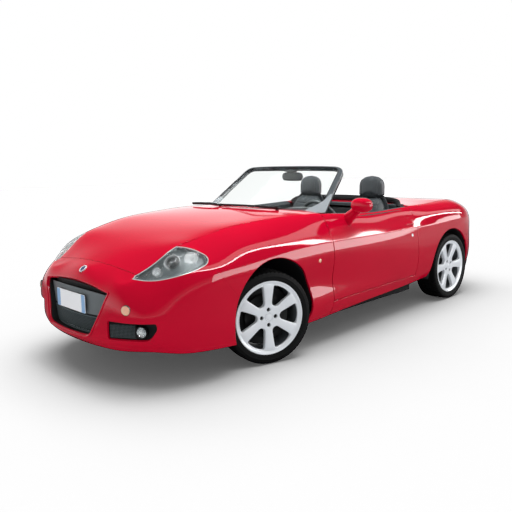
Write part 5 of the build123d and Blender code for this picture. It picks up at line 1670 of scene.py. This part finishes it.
def backSeams(p, n):
    # Two long seams that close in at the shoulders, five bowed cross seams and the side piping.
    front = np.clip(n[:, 0] * 2, 0, 1)
    side = seat["backSeam"]
    inner = (np.abs(p[:, 1]) < side).astype(float)
    yield np.abs(p[:, 1]) - side + 0.10 * np.clip(p[:, 2] - 800, 0, 200), front * (p[:, 2] < 930)
    for z in (520, 610, 700, 790, 880):
        yield p[:, 2] - z - 12 * (p[:, 1] / side) ** 2, front * inner
    yield p[:, 0] + 548 + (p[:, 2] - 420) * 150 / 545 + 2, np.clip(1 - np.abs(n[:, 0]) * 2, 0, 1)


def headSeams(p, n):
    # Piping round the side and one seam near each end of the face.
    yield p[:, 0] + 698 + (p[:, 2] - 955) * 8 / 184, np.clip(1 - np.abs(n[:, 0]) * 2, 0, 1)
    yield np.abs(p[:, 1]) - seat["headSeam"], np.clip(np.abs(n[:, 0]) * 2 - 0.4, 0, 1)


def addPad(label, rows, cap, seams):
    # Pad made once about the seat's own middle, then set in the left and the right seat.
    made = puffed(padFromRows(label, rows), cap)
    sewn(made, seams)
    mesh = made.data
    flat = np.empty(len(mesh.vertices) * 3)
    mesh.vertices.foreach_get("co", flat)
    right = made.copy()
    right.data = mesh.copy()
    right.name = "right" + label
    bpy.context.scene.collection.objects.link(right)
    made.name = "left" + label
    for obj, y in ((made, seat["y"]), (right, -seat["y"])):
        obj.data.vertices.foreach_set("co", (flat.reshape(-1, 3) + (0, y / 1000, 0)).ravel())
        obj.data.update()
        finishPiece(obj, "body", ["seat_l" if y > 0 else "seat_r"])


addPad("SeatCushion", [padCushion(x) for x in np.linspace(-560, -70, 22)], seat["cap"], cushionSeams)
addPad("SeatBack", [padBack(q) for q in np.linspace(0, 1, 24)], seat["cap"], backSeams)
addPad("Headrest", [padHead(q) for q in np.linspace(0, 1, 18)], 9, headSeams)

# Seat shells, bases, headrest posts
shellRows = []
for q in np.linspace(0, 1, 20):
    base = np.array([-548, 0, 405]) + q * np.array([-152, 0, 560])
    half = 214 * (1 - 0.42 * np.clip((q - 0.6) / 0.4, 0, 1) ** 2.6)
    along = unit(np.array([-152, 0, 560.0]))
    front = np.array([along[2], 0, -along[0]])
    ring = softBox(1, 1, 40, 5)
    deep = np.where(ring[:, 0] > 0, 6, 22) * ring[:, 0] - 22 + 26 * np.abs(ring[:, 1]) ** 4
    shellRows.append(base + np.column_stack([deep * front[0], half * ring[:, 1], deep * front[2]]))
baseRows = [np.column_stack([-318 + q[:, 0], q[:, 1], np.full(36, z)])
            for z, q in ((197, softBox(190, 175, 36, 6)), (240, softBox(196, 182, 36, 6)),
                         (290, softBox(238, 204, 36, 6)), (318, softBox(242, 208, 36, 6)))]
railRows = [[np.column_stack([q[:, 0] * 0 + x, q[:, 0] + y, q[:, 1] + 200]) for x in (-560, -80)] for y, q in (
    (-150, softBox(18, 9, 12)), (150, softBox(18, 9, 12)))]
for name, y in (("left", seat["y"]), ("right", -seat["y"])):
    shift = np.array([0, y, 0])
    parts = [(*loft(rows + shift), k) for k, rows in enumerate(map(np.array, (shellRows, baseRows)))]
    parts += [(*loft(np.array(r) + shift), 2) for r in railRows]
    for side in (-55, 55):
        parts.append((*sweep([(-690, y + side, 935), (-694, y + side, 970), (-698, y + side, 1010)],
                             circle(6.5, count=14), up=(0, 1, 0)), 3))
    parts.append((*turned([(0, 0), (24, 0), (26, 5), (22, 12), (0, 13)], (-520, y - 214 if y > 0 else y + 214, 430),
                          (0, -1 if y > 0 else 1, 0), 30), 0))
    addSolid(name + "SeatShell", parts, (trimGrey, blackTrim, steel, chrome), "body", ["seat_l" if y > 0 else "seat_r"])
print("seats ready")


def offsetLoop(loop, by):
    # Closed flat outline moved inwards by a distance along its own normals.
    step = np.roll(loop, -1, 0) - np.roll(loop, 1, 0)
    n = unit(np.column_stack([step[:, 1], -step[:, 0]]))
    return loop - n * by * (1 if signedArea(loop) > 0 else -1)


def sideLoft(loop, y0, y1, radius, bend=None, rows=9):
    # Side view outline carried across the car with its ends rounded on a quarter circle.
    out = []
    for y in np.linspace(0, 1, rows):
        out.append((y0 + radius + (y1 - y0 - 2 * radius) * y, 0.0))
    t = np.linspace(0, np.pi / 2, 5)
    start = [(y0 + radius * (1 - np.sin(a)), radius * (1 - np.cos(a))) for a in t[::-1]]
    end = [(y1 - radius * (1 - np.sin(a)), radius * (1 - np.cos(a))) for a in t]
    rowsOut = []
    for y, inset in start[:-1] + out + end[1:]:
        q = offsetLoop(loop, inset)
        row = np.column_stack([q[:, 0], np.full(len(q), y), q[:, 1]])
        rowsOut.append(bend(row) if bend else row)
    return loft(rowsOut)


# Dashboard: padded top that dips between the doors, instrument hood, vents, stack and glove box
dashTop = newMaterial("softTouchPolyurethane", "2B2F32", 0.68, grain=(2.2, 0.18, ("272A2D", "313538"), (0.62, 0.78)))
dashLoop = softLoop([(536, 642), (536, 846), (440, 864), (250, 888), (172, 880), (144, 850), (152, 742), (232, 642)],
                    (10, 10, 60, 60, 22, 26, 40, 20), 16, 9)


def dashBend(row):
    # The dash runs back a little towards the doors with the square of the width.
    row = row.copy()
    row[:, 0] -= 22 * (row[:, 1] / 590) ** 2 * (row[:, 0] < 400)
    return row


hoodRows = []
for x, half, rise in ((356, 120, 4), (330, 150, 26), (290, 172, 44), (240, 180, 52), (190, 180, 52), (158, 176, 47),
                      (150, 168, 38)):
    t = np.linspace(0, np.pi, 22)
    top = np.column_stack([np.full(22, x), seat["y"] + half * np.sign(np.cos(t)) * np.abs(np.cos(t)) ** 0.75,
                           868 + (rise + 6) * np.sin(t) ** 0.7])
    t = t[::-1][1:-1]
    under = np.column_stack([np.full(20, x), seat["y"] + (half - 14) * np.sign(np.cos(t)) * np.abs(np.cos(t)) ** 0.75,
                             856 + (rise + 2) * np.sin(t) ** 0.7])
    hoodRows.append(np.vstack([top, under]))
dashParts = [(*sideLoft(dashLoop, -592, 592, 14, dashBend, 25), 0), (*loft(hoodRows), 0)]
dialFace = (154.0, seat["y"], 838.0)
dialN = unit(np.array([-0.94, 0, 0.34]))
dialParts = []
for y, radius in ((seat["y"] - 62, 47), (seat["y"] + 62, 47), (seat["y"] - 138, 24), (seat["y"] + 138, 24)):
    spot = (dialFace[0] - 2, y, dialFace[2] - (0 if radius > 30 else 6))
    dialParts.append((*turned([(0, -10), (radius, -10), (radius + 3, -6), (radius + 3, 5), (radius + 1, 7),
                               (radius - 2, 5), (radius - 3, 1), (0, 1)], spot, dialN, 40), 0))
    dialParts.append((*turned([(0, 0), (radius - 3.5, 0), (radius - 3.5, 1.6), (0, 1.6)], spot, dialN, 40), 1))
    marks = 9 if radius > 30 else 5
    side = np.array([0, 1.0, 0])
    top = np.cross(dialN, side)
    for a in np.radians(np.linspace(-130, 130, marks)):
        way = np.sin(a) * side + np.cos(a) * top
        p0 = np.array(spot) + dialN * 2.2
        dialParts.append((*sweep([p0 + way * (radius * 0.76), p0 + way * (radius * 0.9)], softBox(1.1, 0.5, 6),
                                 up=dialN), 2))
    way = np.sin(-1.9) * side + np.cos(-1.9) * top
    dialParts.append((*sweep([p0 - way * 5, p0 + way * (radius * 0.72)], softBox(1.5, 0.7, 6), up=dialN), 3))
needleRed = newMaterial("fluorescentAcrylic", "D8391E", 0.4, grain=(5, 0, ("CF3218", "E04427")))
dialBlack = newMaterial("screenPrintedBlack", "101113", 0.7, grain=(2, 0.02, ("0E0F10", "141517")))
dialWhite = newMaterial("screenPrintedWhite", "DADDDE", 0.6, grain=(2, 0, ("D3D6D8", "E2E4E5")))
ventParts = []
for y in (-520, -120, 120, 560):
    x = 146 - 22 * (y / 590) ** 2
    ventParts.append((*turned([(0, -16), (36, -16), (37, 3), (35, 5), (31, 4), (30, -8), (0, -8)], (x + 2, y, 806),
                              (-1, 0, 0.1), 36), 0))
    for k in range(-2, 3):
        width = np.sqrt(max(30 ** 2 - (k * 11) ** 2, 1)) - 1
        ventParts.append((*sweep([(x + 1, y - width, 806 + k * 11), (x + 1, y + width, 806 + k * 11)],
                                 softBox(5, 1.3, 8), up=(0.35, 0, 1)), 0))
stack = [(*softBlock((150, 0, 745), (14, 92, 62), 6), 0), (*softBlock((141, 0, 775), (8, 80, 20), 6), 1)]
for k in (-1, 0, 1):
    stack.append((*turned([(0, -6), (17, -6), (17, 8), (15, 11), (0, 12)], (138, 52 * k, 725), (-1, 0, 0), 30), 1))
gloveLoop = softLoop([(-530, 690), (-170, 690), (-170, 782), (-530, 782)], 22, 14)
gloveRows = [np.column_stack([150 + (782 - q[:, 1]) * 0.10 - off + 16 * (q[:, 0] / 590) ** 2 * -1, q]) for off, q in (
    (-8, gloveLoop), (5, gloveLoop), (8, offsetLoop(gloveLoop, 4)))]
addSolid("dashboardBody", dashParts, (dashTop,), "body", ["dashboard"])
addSolid("dashboardDials", dialParts, (blackTrim, dialBlack, dialWhite, needleRed), "body", ["dashboard"])
addSolid("dashboardVents", ventParts + stack + [(*loft(gloveRows), 2)], (blackTrim, dialBlack, trimGrey), "body",
         ["dashboard"])

# Centre console, gear lever in its gaiter, handbrake
consoleLoop = softLoop([(224, 362), (-600, 362), (-600, 466), (-330, 478), (40, 468), (215, 636), (226, 636)],
                       (4, 8, 24, 60, 90, 16, 4), 16, 10)
consoleParts = [(*sideLoft(consoleLoop, -94, 94, 16), 0)]
trayRows = [np.column_stack([-470 + q[:, 0], q[:, 1], np.full(32, z)])
            for z, q in ((470, softBox(88, 62, 32)), (488, softBox(92, 66, 32)), (489, softBox(84, 58, 32)),
                         (479, softBox(80, 54, 32)))]
consoleParts.append((*loft(trayRows), 1))
gaiterRows = []
for k, q in enumerate(np.linspace(0, 1, 15)):
    r = 52 - 38 * q + 3.2 * (k % 2) * (1 - q * 0.5)
    fold = circle(r * 1.1, r, 32)
    gaiterRows.append(np.column_stack([62 - 10 * q + fold[:, 0], fold[:, 1], np.full(32, 482 + 88 * q)]))
knobProfile = [(0, -30), (11, -30), (12, -22), (17, -12), (23.5, 2), (24, 10), (20, 19), (12, 23), (0, 24)]
consoleParts.append((*loft(gaiterRows), 2))
consoleParts.append((*sweep([(58, 0, 520), (50, 0, 570), (46, 0, 600)], circle(7.5, count=16), up=(0, 1, 0)), 3))
consoleParts.append((*turned(knobProfile, (44, 0, 620), (-0.12, 0, 1), 36), 1))
brakePath = smoothPath([(-150, 48, 470), (-210, 48, 492), (-300, 48, 512), (-380, 48, 524)], 22)
consoleParts.append((*sweep(brakePath, softBox(13, 11, 18, 2.6), scale=np.linspace(1.1, 0.9, 22)), 2))
consoleParts.append((*turned([(0, 0), (8, 0), (8, 12), (6, 15), (0, 15)], (-384, 48, 525), (-0.98, 0, 0.15), 20), 3))
addSolid("centreConsole", consoleParts, (trimGrey, blackTrim, leather, chrome), "body", ["console"])

# Steering wheel: leather rim, three spokes, padded boss and column
wheelRadius, gripRadius, tilt = 182, 14, np.radians(24)
wheelN = np.array([-np.cos(tilt), 0, np.sin(tilt)])
wheelUp = np.cross(wheelN, (0, 1.0, 0))
wheelAt = np.array([-10.0, seat["y"], 790])


def flatWheel(q, h):
    # Places from across, up and out of the steering wheel's plane.
    return wheelAt + q[:, :1] * np.array([0, 1.0, 0]) + q[:, 1:2] * wheelUp * np.sign(wheelUp[2]) + wheelN * h


ringPath = flatWheel(circle(wheelRadius, count=96), 0)
steering = [(*sweep(ringPath, circle(gripRadius, count=18), up=wheelN, endless=True), 0)]
for a in (0.12, np.pi - 0.12, -np.pi / 2):
    way = np.array([np.cos(a), np.sin(a)])
    path = flatWheel(np.array([way * q for q in (40, 80, 120, 150, 176)]), 0)
    path -= wheelN * np.array([12, 14, 10, 4, 0])[:, None]
    steering.append((*sweep(path, softBox(22, 6, 20), scale=np.array([1.3, 1.1, 0.9, 0.75, 0.7]), up=wheelN), 1))
bossRows = [flatWheel(q, h) for h, q in ((-34, softBox(48, 42, 36, 3)), (-20, softBox(64, 56, 36, 3)),
                                         (-2, softBox(66, 58, 36, 3)), (8, softBox(56, 48, 36, 3)),
                                         (11, softBox(36, 30, 36, 3)))]
steering.append((*loft(bossRows), 1))
steering.append((*turned([(0, 9), (20, 9), (21, 12), (18, 13.5), (0, 13.8)], wheelAt, wheelN, 36), 2))
steering.append((*turned([(0, -190), (36, -190), (40, -60), (34, -30), (0, -30)], wheelAt, wheelN, 36), 1))
for side in (-1, 1):
    stalkRun = [wheelAt - wheelN * 60 + np.array([0, side * q, 0]) + wheelUp * np.sign(wheelUp[2]) * r
                for q, r in ((30, 6), (90, 22), (150, 30))]
    steering.append((*sweep(stalkRun, softBox(6, 4.5, 12), up=wheelN), 1))
addSolid("steeringWheelBody", steering, (leather, blackTrim, chrome), "body", ["steering_wheel"])


# Carpets, mats and back panel
def pile(z, high):
    # Carpet over a flat outline: its height follows two crossed waves, too fine to be felt as bumps.
    return lambda uv: np.column_stack([uv, z + high * np.sin(uv[:, 0] / 7.0) * np.sin(uv[:, 1] / 9.0) + 0 * uv[:, 0]])


for name, side in (("left", 1), ("right", -1)):
    outline = softLoop([(-745, 118), (540, 118), (540, 578), (-745, 578)], 18, 30) * (1, side)
    addPanel(name + "FloorCarpet", [edge(outline, 0, 3.0)], "body", surface=pile(197, 0.8), wall=5,
             mats=(carpet, carpet), step=26)
    matLoop = softLoop([(-40, 150), (440, 150), (440, 540), (-40, 540)], 40, 26) * (1, side)
    addPanel(name + "FloorMat", [edge(matLoop, 0, 4.0)], "body", surface=pile(206, 0.8), wall=7,
             mats=(blackTrim, blackTrim), step=22)
backLoopCabin = softLoop([(-575, 200), (575, 200), (630, 620), (640, 838), (-640, 838), (-630, 620)], 30, 30)
addPanel("cabinBackPanel", [edge(backLoopCabin, 0, 8.0)], "body",
         surface=lambda uv: np.column_stack([-756 + 5 * np.cos(uv[:, 0] / 95.0), uv[:, 0], uv[:, 1]]), wall=12,
         mats=(carpet, carpet), step=30)
shelfRows = [np.array([(x, -640, z), (x, 640, z), (x, 640, z - 22), (x, -640, z - 22)], float) for x, z in
             ((-749, 884), (-762, 896), (-772, 892))]
addSolid("cabinRearShelf", [(*loft(shelfRows), 0)], (leather,), "body")
# Padded roll round the back of the cockpit, proud of the deck behind it
rollHalf = [(-716, 622, 868), (-738, 606, 893), (-778, 560, 912), (-786, 400, 924), (-788, 200, 928)]
backRoll = smoothPath(rollHalf + [(-788, 0, 930)] + [(x, -y, z) for x, y, z in rollHalf[::-1]], 90)
addSolid("cockpitRearRoll", [(*sweep(backRoll, softBox(20, 26, 28, 2.4), up=(0, 0, 1)), 0)], (blackTrim,), "body")
print("interior ready")

# Tail lamps: red lens in line with the skin over round units
tailRed = newMaterial("redAcrylic", "6E060E", 0.08, grain=(14, 0.3, ("5C040A", "7E0A14")), Coat_Weight=1.0,
                      Subsurface_Weight=0.15, Subsurface_Scale=0.01)
tailWhite = newMaterial("clearRibbedAcrylic", "DADCDB", 0.15, grain=(6, 0.5, ("CFD1D0", "E6E8E7")), Coat_Weight=1.0)
addPanel("leftTailLens", [edge(tailSlotUV, 1.5, 3.0)], "body", ["tail_lamps"], twin=True, wall=16,
         mats=(tailRed, blackTrim), step=9)
tailParts = []
for along, radius, m in ((-74, 30, 0), (0, 32, 1), (74, 30, 2)):
    uv = pinned(np.array([[along, 0.0]]), tailAt, tailRun, (0, 0, 1), (halfGirth - 1000, halfGirth - 100), (300, 700))
    p, n = skinAt(uv)
    rings = [(radius * q, 2.4 + 2.2 * (1 - q * q) + 0.5 * np.cos(q * 30)) for q in np.linspace(1, 0.05, 24)]
    tailParts.append((*turned([(0, -3), (radius + 3, -3), (radius + 3, 1.5), (radius + 1.5, 3)] + rings + [(0, 4.8)], p,
                              n, 44), m))
addSolid("leftTailUnits", tailParts, (tailRed, amber, tailWhite), "body", ["tail_lamps"], twin=True)

# Exhaust trim: rolled end over the tail pipe
tipRows = [(28, 0), (31, 4), (32, 12), (32, 70), (30, 74), (27, 74), (27, 2)]
addSolid("exhaustTrim", [(*turned(tipRows, (-1950, 330, 184), (1, 0, 0), 48, endless=True), 0)], (chrome,), "body")
engineAlloy = newMaterial("sandCastAluminium", "6A6C6E", 0.5, 0.7, grain=(12, 0.6, ("5C5E60", "7A7C7E"), (0.42, 0.6)))
# Bitumen underseal on the floor pan: black like real underseal, and kept near black as painted shade so the pan under
# the sill reads as shadow
undersealPaintedShade = newMaterial("bitumenUndersealPaintedShade", "0E0F10", 0.85, grain=(30, 0.3, ("0B0C0D", "121314")),
                        Specular_IOR_Level=0.2)
# Knuckles and rear axle take the disc's painted-shade grey; the floor pan takes the underseal's painted shade
for nodeName, finish in (("floor_pan", undersealPaintedShade), ("front_frame", steel), ("boot_tub", steel),
                         ("front_subframe", steel), ("rear_axle", discPaintedShade), ("knuckle_l", discPaintedShade), ("knuckle_r", discPaintedShade),
                         ("engine", engineAlloy), ("fuel_tank", blackTrim), ("exhaust", exhaustSteel)):
    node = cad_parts[nodeName]
    node.data.materials.clear()
    node.data.materials.append(finish)
print("underbody finished")

# Camera, floor and light
camera = bpy.data.objects.new("camera", bpy.data.cameras.new("camera"))
bpy.context.scene.collection.objects.link(camera)
bpy.context.scene.camera = camera
view = {"place": (3.44817, 3.29278, 1.26527), "heading": 3.90834, "down": 0.10717, "roll": -0.01734,
        "focal": 569.82, "centre": (285.66, 224.12), "frame": 512.0}
ch, sh = np.cos(view["heading"]), np.sin(view["heading"])
cd, sd = np.cos(view["down"]), np.sin(view["down"])
look = np.array([ch * cd, sh * cd, -sd])
right = unit(np.cross(look, (0, 0, 1.0)))
up = np.cross(right, look)
cr, sr = np.cos(view["roll"]), np.sin(view["roll"])
right, up = cr * right + sr * up, cr * up - sr * right
turn = np.column_stack([right, up, -look])
cameraAt = Vector(view["place"]) + Vector((0, centreY / 1000, 0))
camera.matrix_world = Matrix.Translation(cameraAt) @ Matrix(turn.tolist()).to_4x4()
camera.data.sensor_width = 36
camera.data.lens = 36 * view["focal"] / view["frame"]
camera.data.shift_x = (view["frame"] / 2 - view["centre"][0]) / view["frame"]
camera.data.shift_y = (view["centre"][1] - view["frame"] / 2) / view["frame"]
camera.data.clip_end = 100
scene = bpy.context.scene
scene.view_settings.view_transform = "Standard"

# Camera and transmission rays see plain white. Gloss sees the same backdrop: white low down, darker overhead.
light = {"world": 0.62, "white": 1.0, "glossNear": 0.4, "glossFar": 1.3, "glossHigh": 0.06, "bandNear": 0.20,
         "bandFar": 0.55, "floorNear": 5.0, "floorFar": 11.0, "fill": 0.6, "top": 3.4, "topAngle": 0.8}
world = bpy.data.worlds.new("studio")
scene.world = world
world.use_nodes = True
world.node_tree.nodes.clear()
rays = addNode(world, "ShaderNodeLightPath")
direction = addNode(world, "ShaderNodeTexCoord")
split = addNode(world, "ShaderNodeSeparateXYZ", {"Vector": direction.outputs["Generated"]})
band = addNode(world, "ShaderNodeMapRange", {"Value": split.outputs["Y"], "From Min": 0.3, "From Max": -0.4,
                                            "To Min": light["bandNear"], "To Max": light["bandFar"]})
glow = addNode(world, "ShaderNodeMapRange", {"Value": split.outputs["Y"], "From Min": 0.3, "From Max": -0.4,
                                            "To Min": light["glossNear"], "To Max": light["glossFar"]})
low = addNode(world, "ShaderNodeMapRange", {"Value": split.outputs["Z"], "From Min": 0.0,
                                            "From Max": band.outputs["Result"], "To Min": glow.outputs["Result"],
                                            "To Max": light["glossHigh"]},
              interpolation_type="SMOOTHSTEP")
clear = addNode(world, "ShaderNodeMath", {0: rays.outputs["Is Camera Ray"], 1: rays.outputs["Is Transmission Ray"]},
                operation="MAXIMUM")
level = addNode(world, "ShaderNodeMix", {0: rays.outputs["Is Glossy Ray"], 2: light["world"], 3: low.outputs["Result"]})
shown = addNode(world, "ShaderNodeMix", {0: clear.outputs[0], 2: level.outputs[0], 3: light["white"]})
back = addNode(world, "ShaderNodeBackground", {"Color": (1, 1, 1, 1), "Strength": shown.outputs[0]})
out = addNode(world, "ShaderNodeOutputWorld", {"Surface": back.outputs[0]})

floorMat = newMaterial("whiteStudioFloor", "C9CBCE", 0.9)
floorShader = floorMat.node_tree.nodes["Principled BSDF"]
floorRays = addNode(floorMat, "ShaderNodeLightPath")
where = addNode(floorMat, "ShaderNodeNewGeometry")
far = addNode(floorMat, "ShaderNodeVectorMath", {0: where.outputs["Position"]}, operation="LENGTH")
bright = addNode(floorMat, "ShaderNodeMapRange", {"Value": far.outputs["Value"], "From Min": light["floorNear"],
                                                  "From Max": light["floorFar"]})
# Seen in gloss only, the floor is dark near the car and pale far off: painted shade round the car, shown only in its
# reflections
glossShadeTone = addNode(floorMat, "ShaderNodeMix", {0: bright.outputs["Result"]}, data_type="RGBA")
glossShadeTone.inputs[6].default_value, glossShadeTone.inputs[7].default_value = linear("303235"), linear("B0B0B0")
floorTone = addNode(floorMat, "ShaderNodeMix", {0: floorRays.outputs["Is Glossy Ray"], 7: glossShadeTone.outputs[2]},
                    data_type="RGBA")
floorTone.inputs[6].default_value = linear("A8AAAD")
floorMat.node_tree.links.new(floorTone.outputs[2], floorShader.inputs["Base Color"])
floorWhite = addNode(floorMat, "ShaderNodeEmission", {"Strength": 1.0})
seenThrough = addNode(floorMat, "ShaderNodeMixShader", {0: floorRays.outputs["Is Transmission Ray"],
                                                        1: floorShader.outputs[0], 2: floorWhite.outputs[0]})
floorMat.node_tree.links.new(seenThrough.outputs[0], floorMat.node_tree.nodes["Material Output"].inputs["Surface"])
floorMesh = bpy.data.meshes.new("floor")
span = 30.0
floorMesh.from_pydata([(-span, -span, 0), (span, -span, 0), (span, span, 0), (-span, span, 0)], [], [(0, 1, 2, 3)])
floorMesh.materials.append(floorMat)
floor = bpy.data.objects.new("floor", floorMesh)
scene.collection.objects.link(floor)
floor.is_shadow_catcher = True
floorOnly = bpy.data.collections.new("floorOnly")
floorOnly.objects.link(floor)
# Lights the floor alone and casts no shadow, so that the car's stays soft.
fillData = bpy.data.lights.new("floorFill", "SUN")
fillData.energy, fillData.use_shadow = light["fill"], False
# Wide overhead light on the floor alone: its shadow is dark only under the car.
topData = bpy.data.lights.new("floorTop", "SUN")
topData.energy, topData.angle = light["top"], light["topAngle"]
for data in (fillData, topData):
    floorLight = bpy.data.objects.new(data.name, data)
    scene.collection.objects.link(floorLight)
    floorLight.light_linking.receiver_collection = floorOnly


def addLamp(name, place, target, size, sizeY, power, gloss=True, diffuse=True):
    # Soft rectangular lamp aimed at a point.
    data = bpy.data.lights.new(name, "AREA")
    data.shape = "RECTANGLE"
    data.size, data.size_y = size, sizeY
    data.energy = power
    lamp = bpy.data.objects.new(name, data)
    scene.collection.objects.link(lamp)
    way = Vector(target) - Vector(place)
    lamp.matrix_world = Matrix.Translation(place) @ way.to_track_quat("-Z", "Y").to_matrix().to_4x4()
    lamp.visible_glossy, lamp.visible_diffuse, lamp.visible_camera = gloss, diffuse, False
    return lamp


def addStrip(name, start, end, width, target, power):
    # Long narrow lamp between two points, turned to face a target; it shows in gloss and adds no other light.
    a, b, t = (np.array(p, float) for p in (start, end, target))
    along = unit(b - a)
    face = t - (a + b) / 2
    face = unit(face - along * (face @ along))
    lamp = addLamp(name, (0, 0, 0), (0, 0, -1), float(np.linalg.norm(b - a)), width, power, diffuse=False)
    axes = np.column_stack([along, np.cross(-face, along), -face])
    lamp.matrix_world = Matrix.Translation((a + b) / 2) @ Matrix(axes.tolist()).to_4x4()
    return lamp


addLamp("overhead", (0.0, -0.6, 4.2), (0, 0, 0.5), 3.0, 5.5, 330, gloss=False)
addStrip("shoulderStrip", (3.6, 3.8, 4.6), (-10.0, 3.8, 2.2), 0.26, (-1, 0.7, 0.8), 280)
addStrip("shoulderGlow", (4.0, 3.4, 5.0), (-11.0, 3.4, 3.4), 1.1, (-1, 0.7, 0.8), 120)
addStrip("sillStrip", (0.0, 4.6, 0.9), (-10.0, 4.6, 1.4), 1.3, (-1, 0.7, 0.5), 260)
print("camera and light ready")
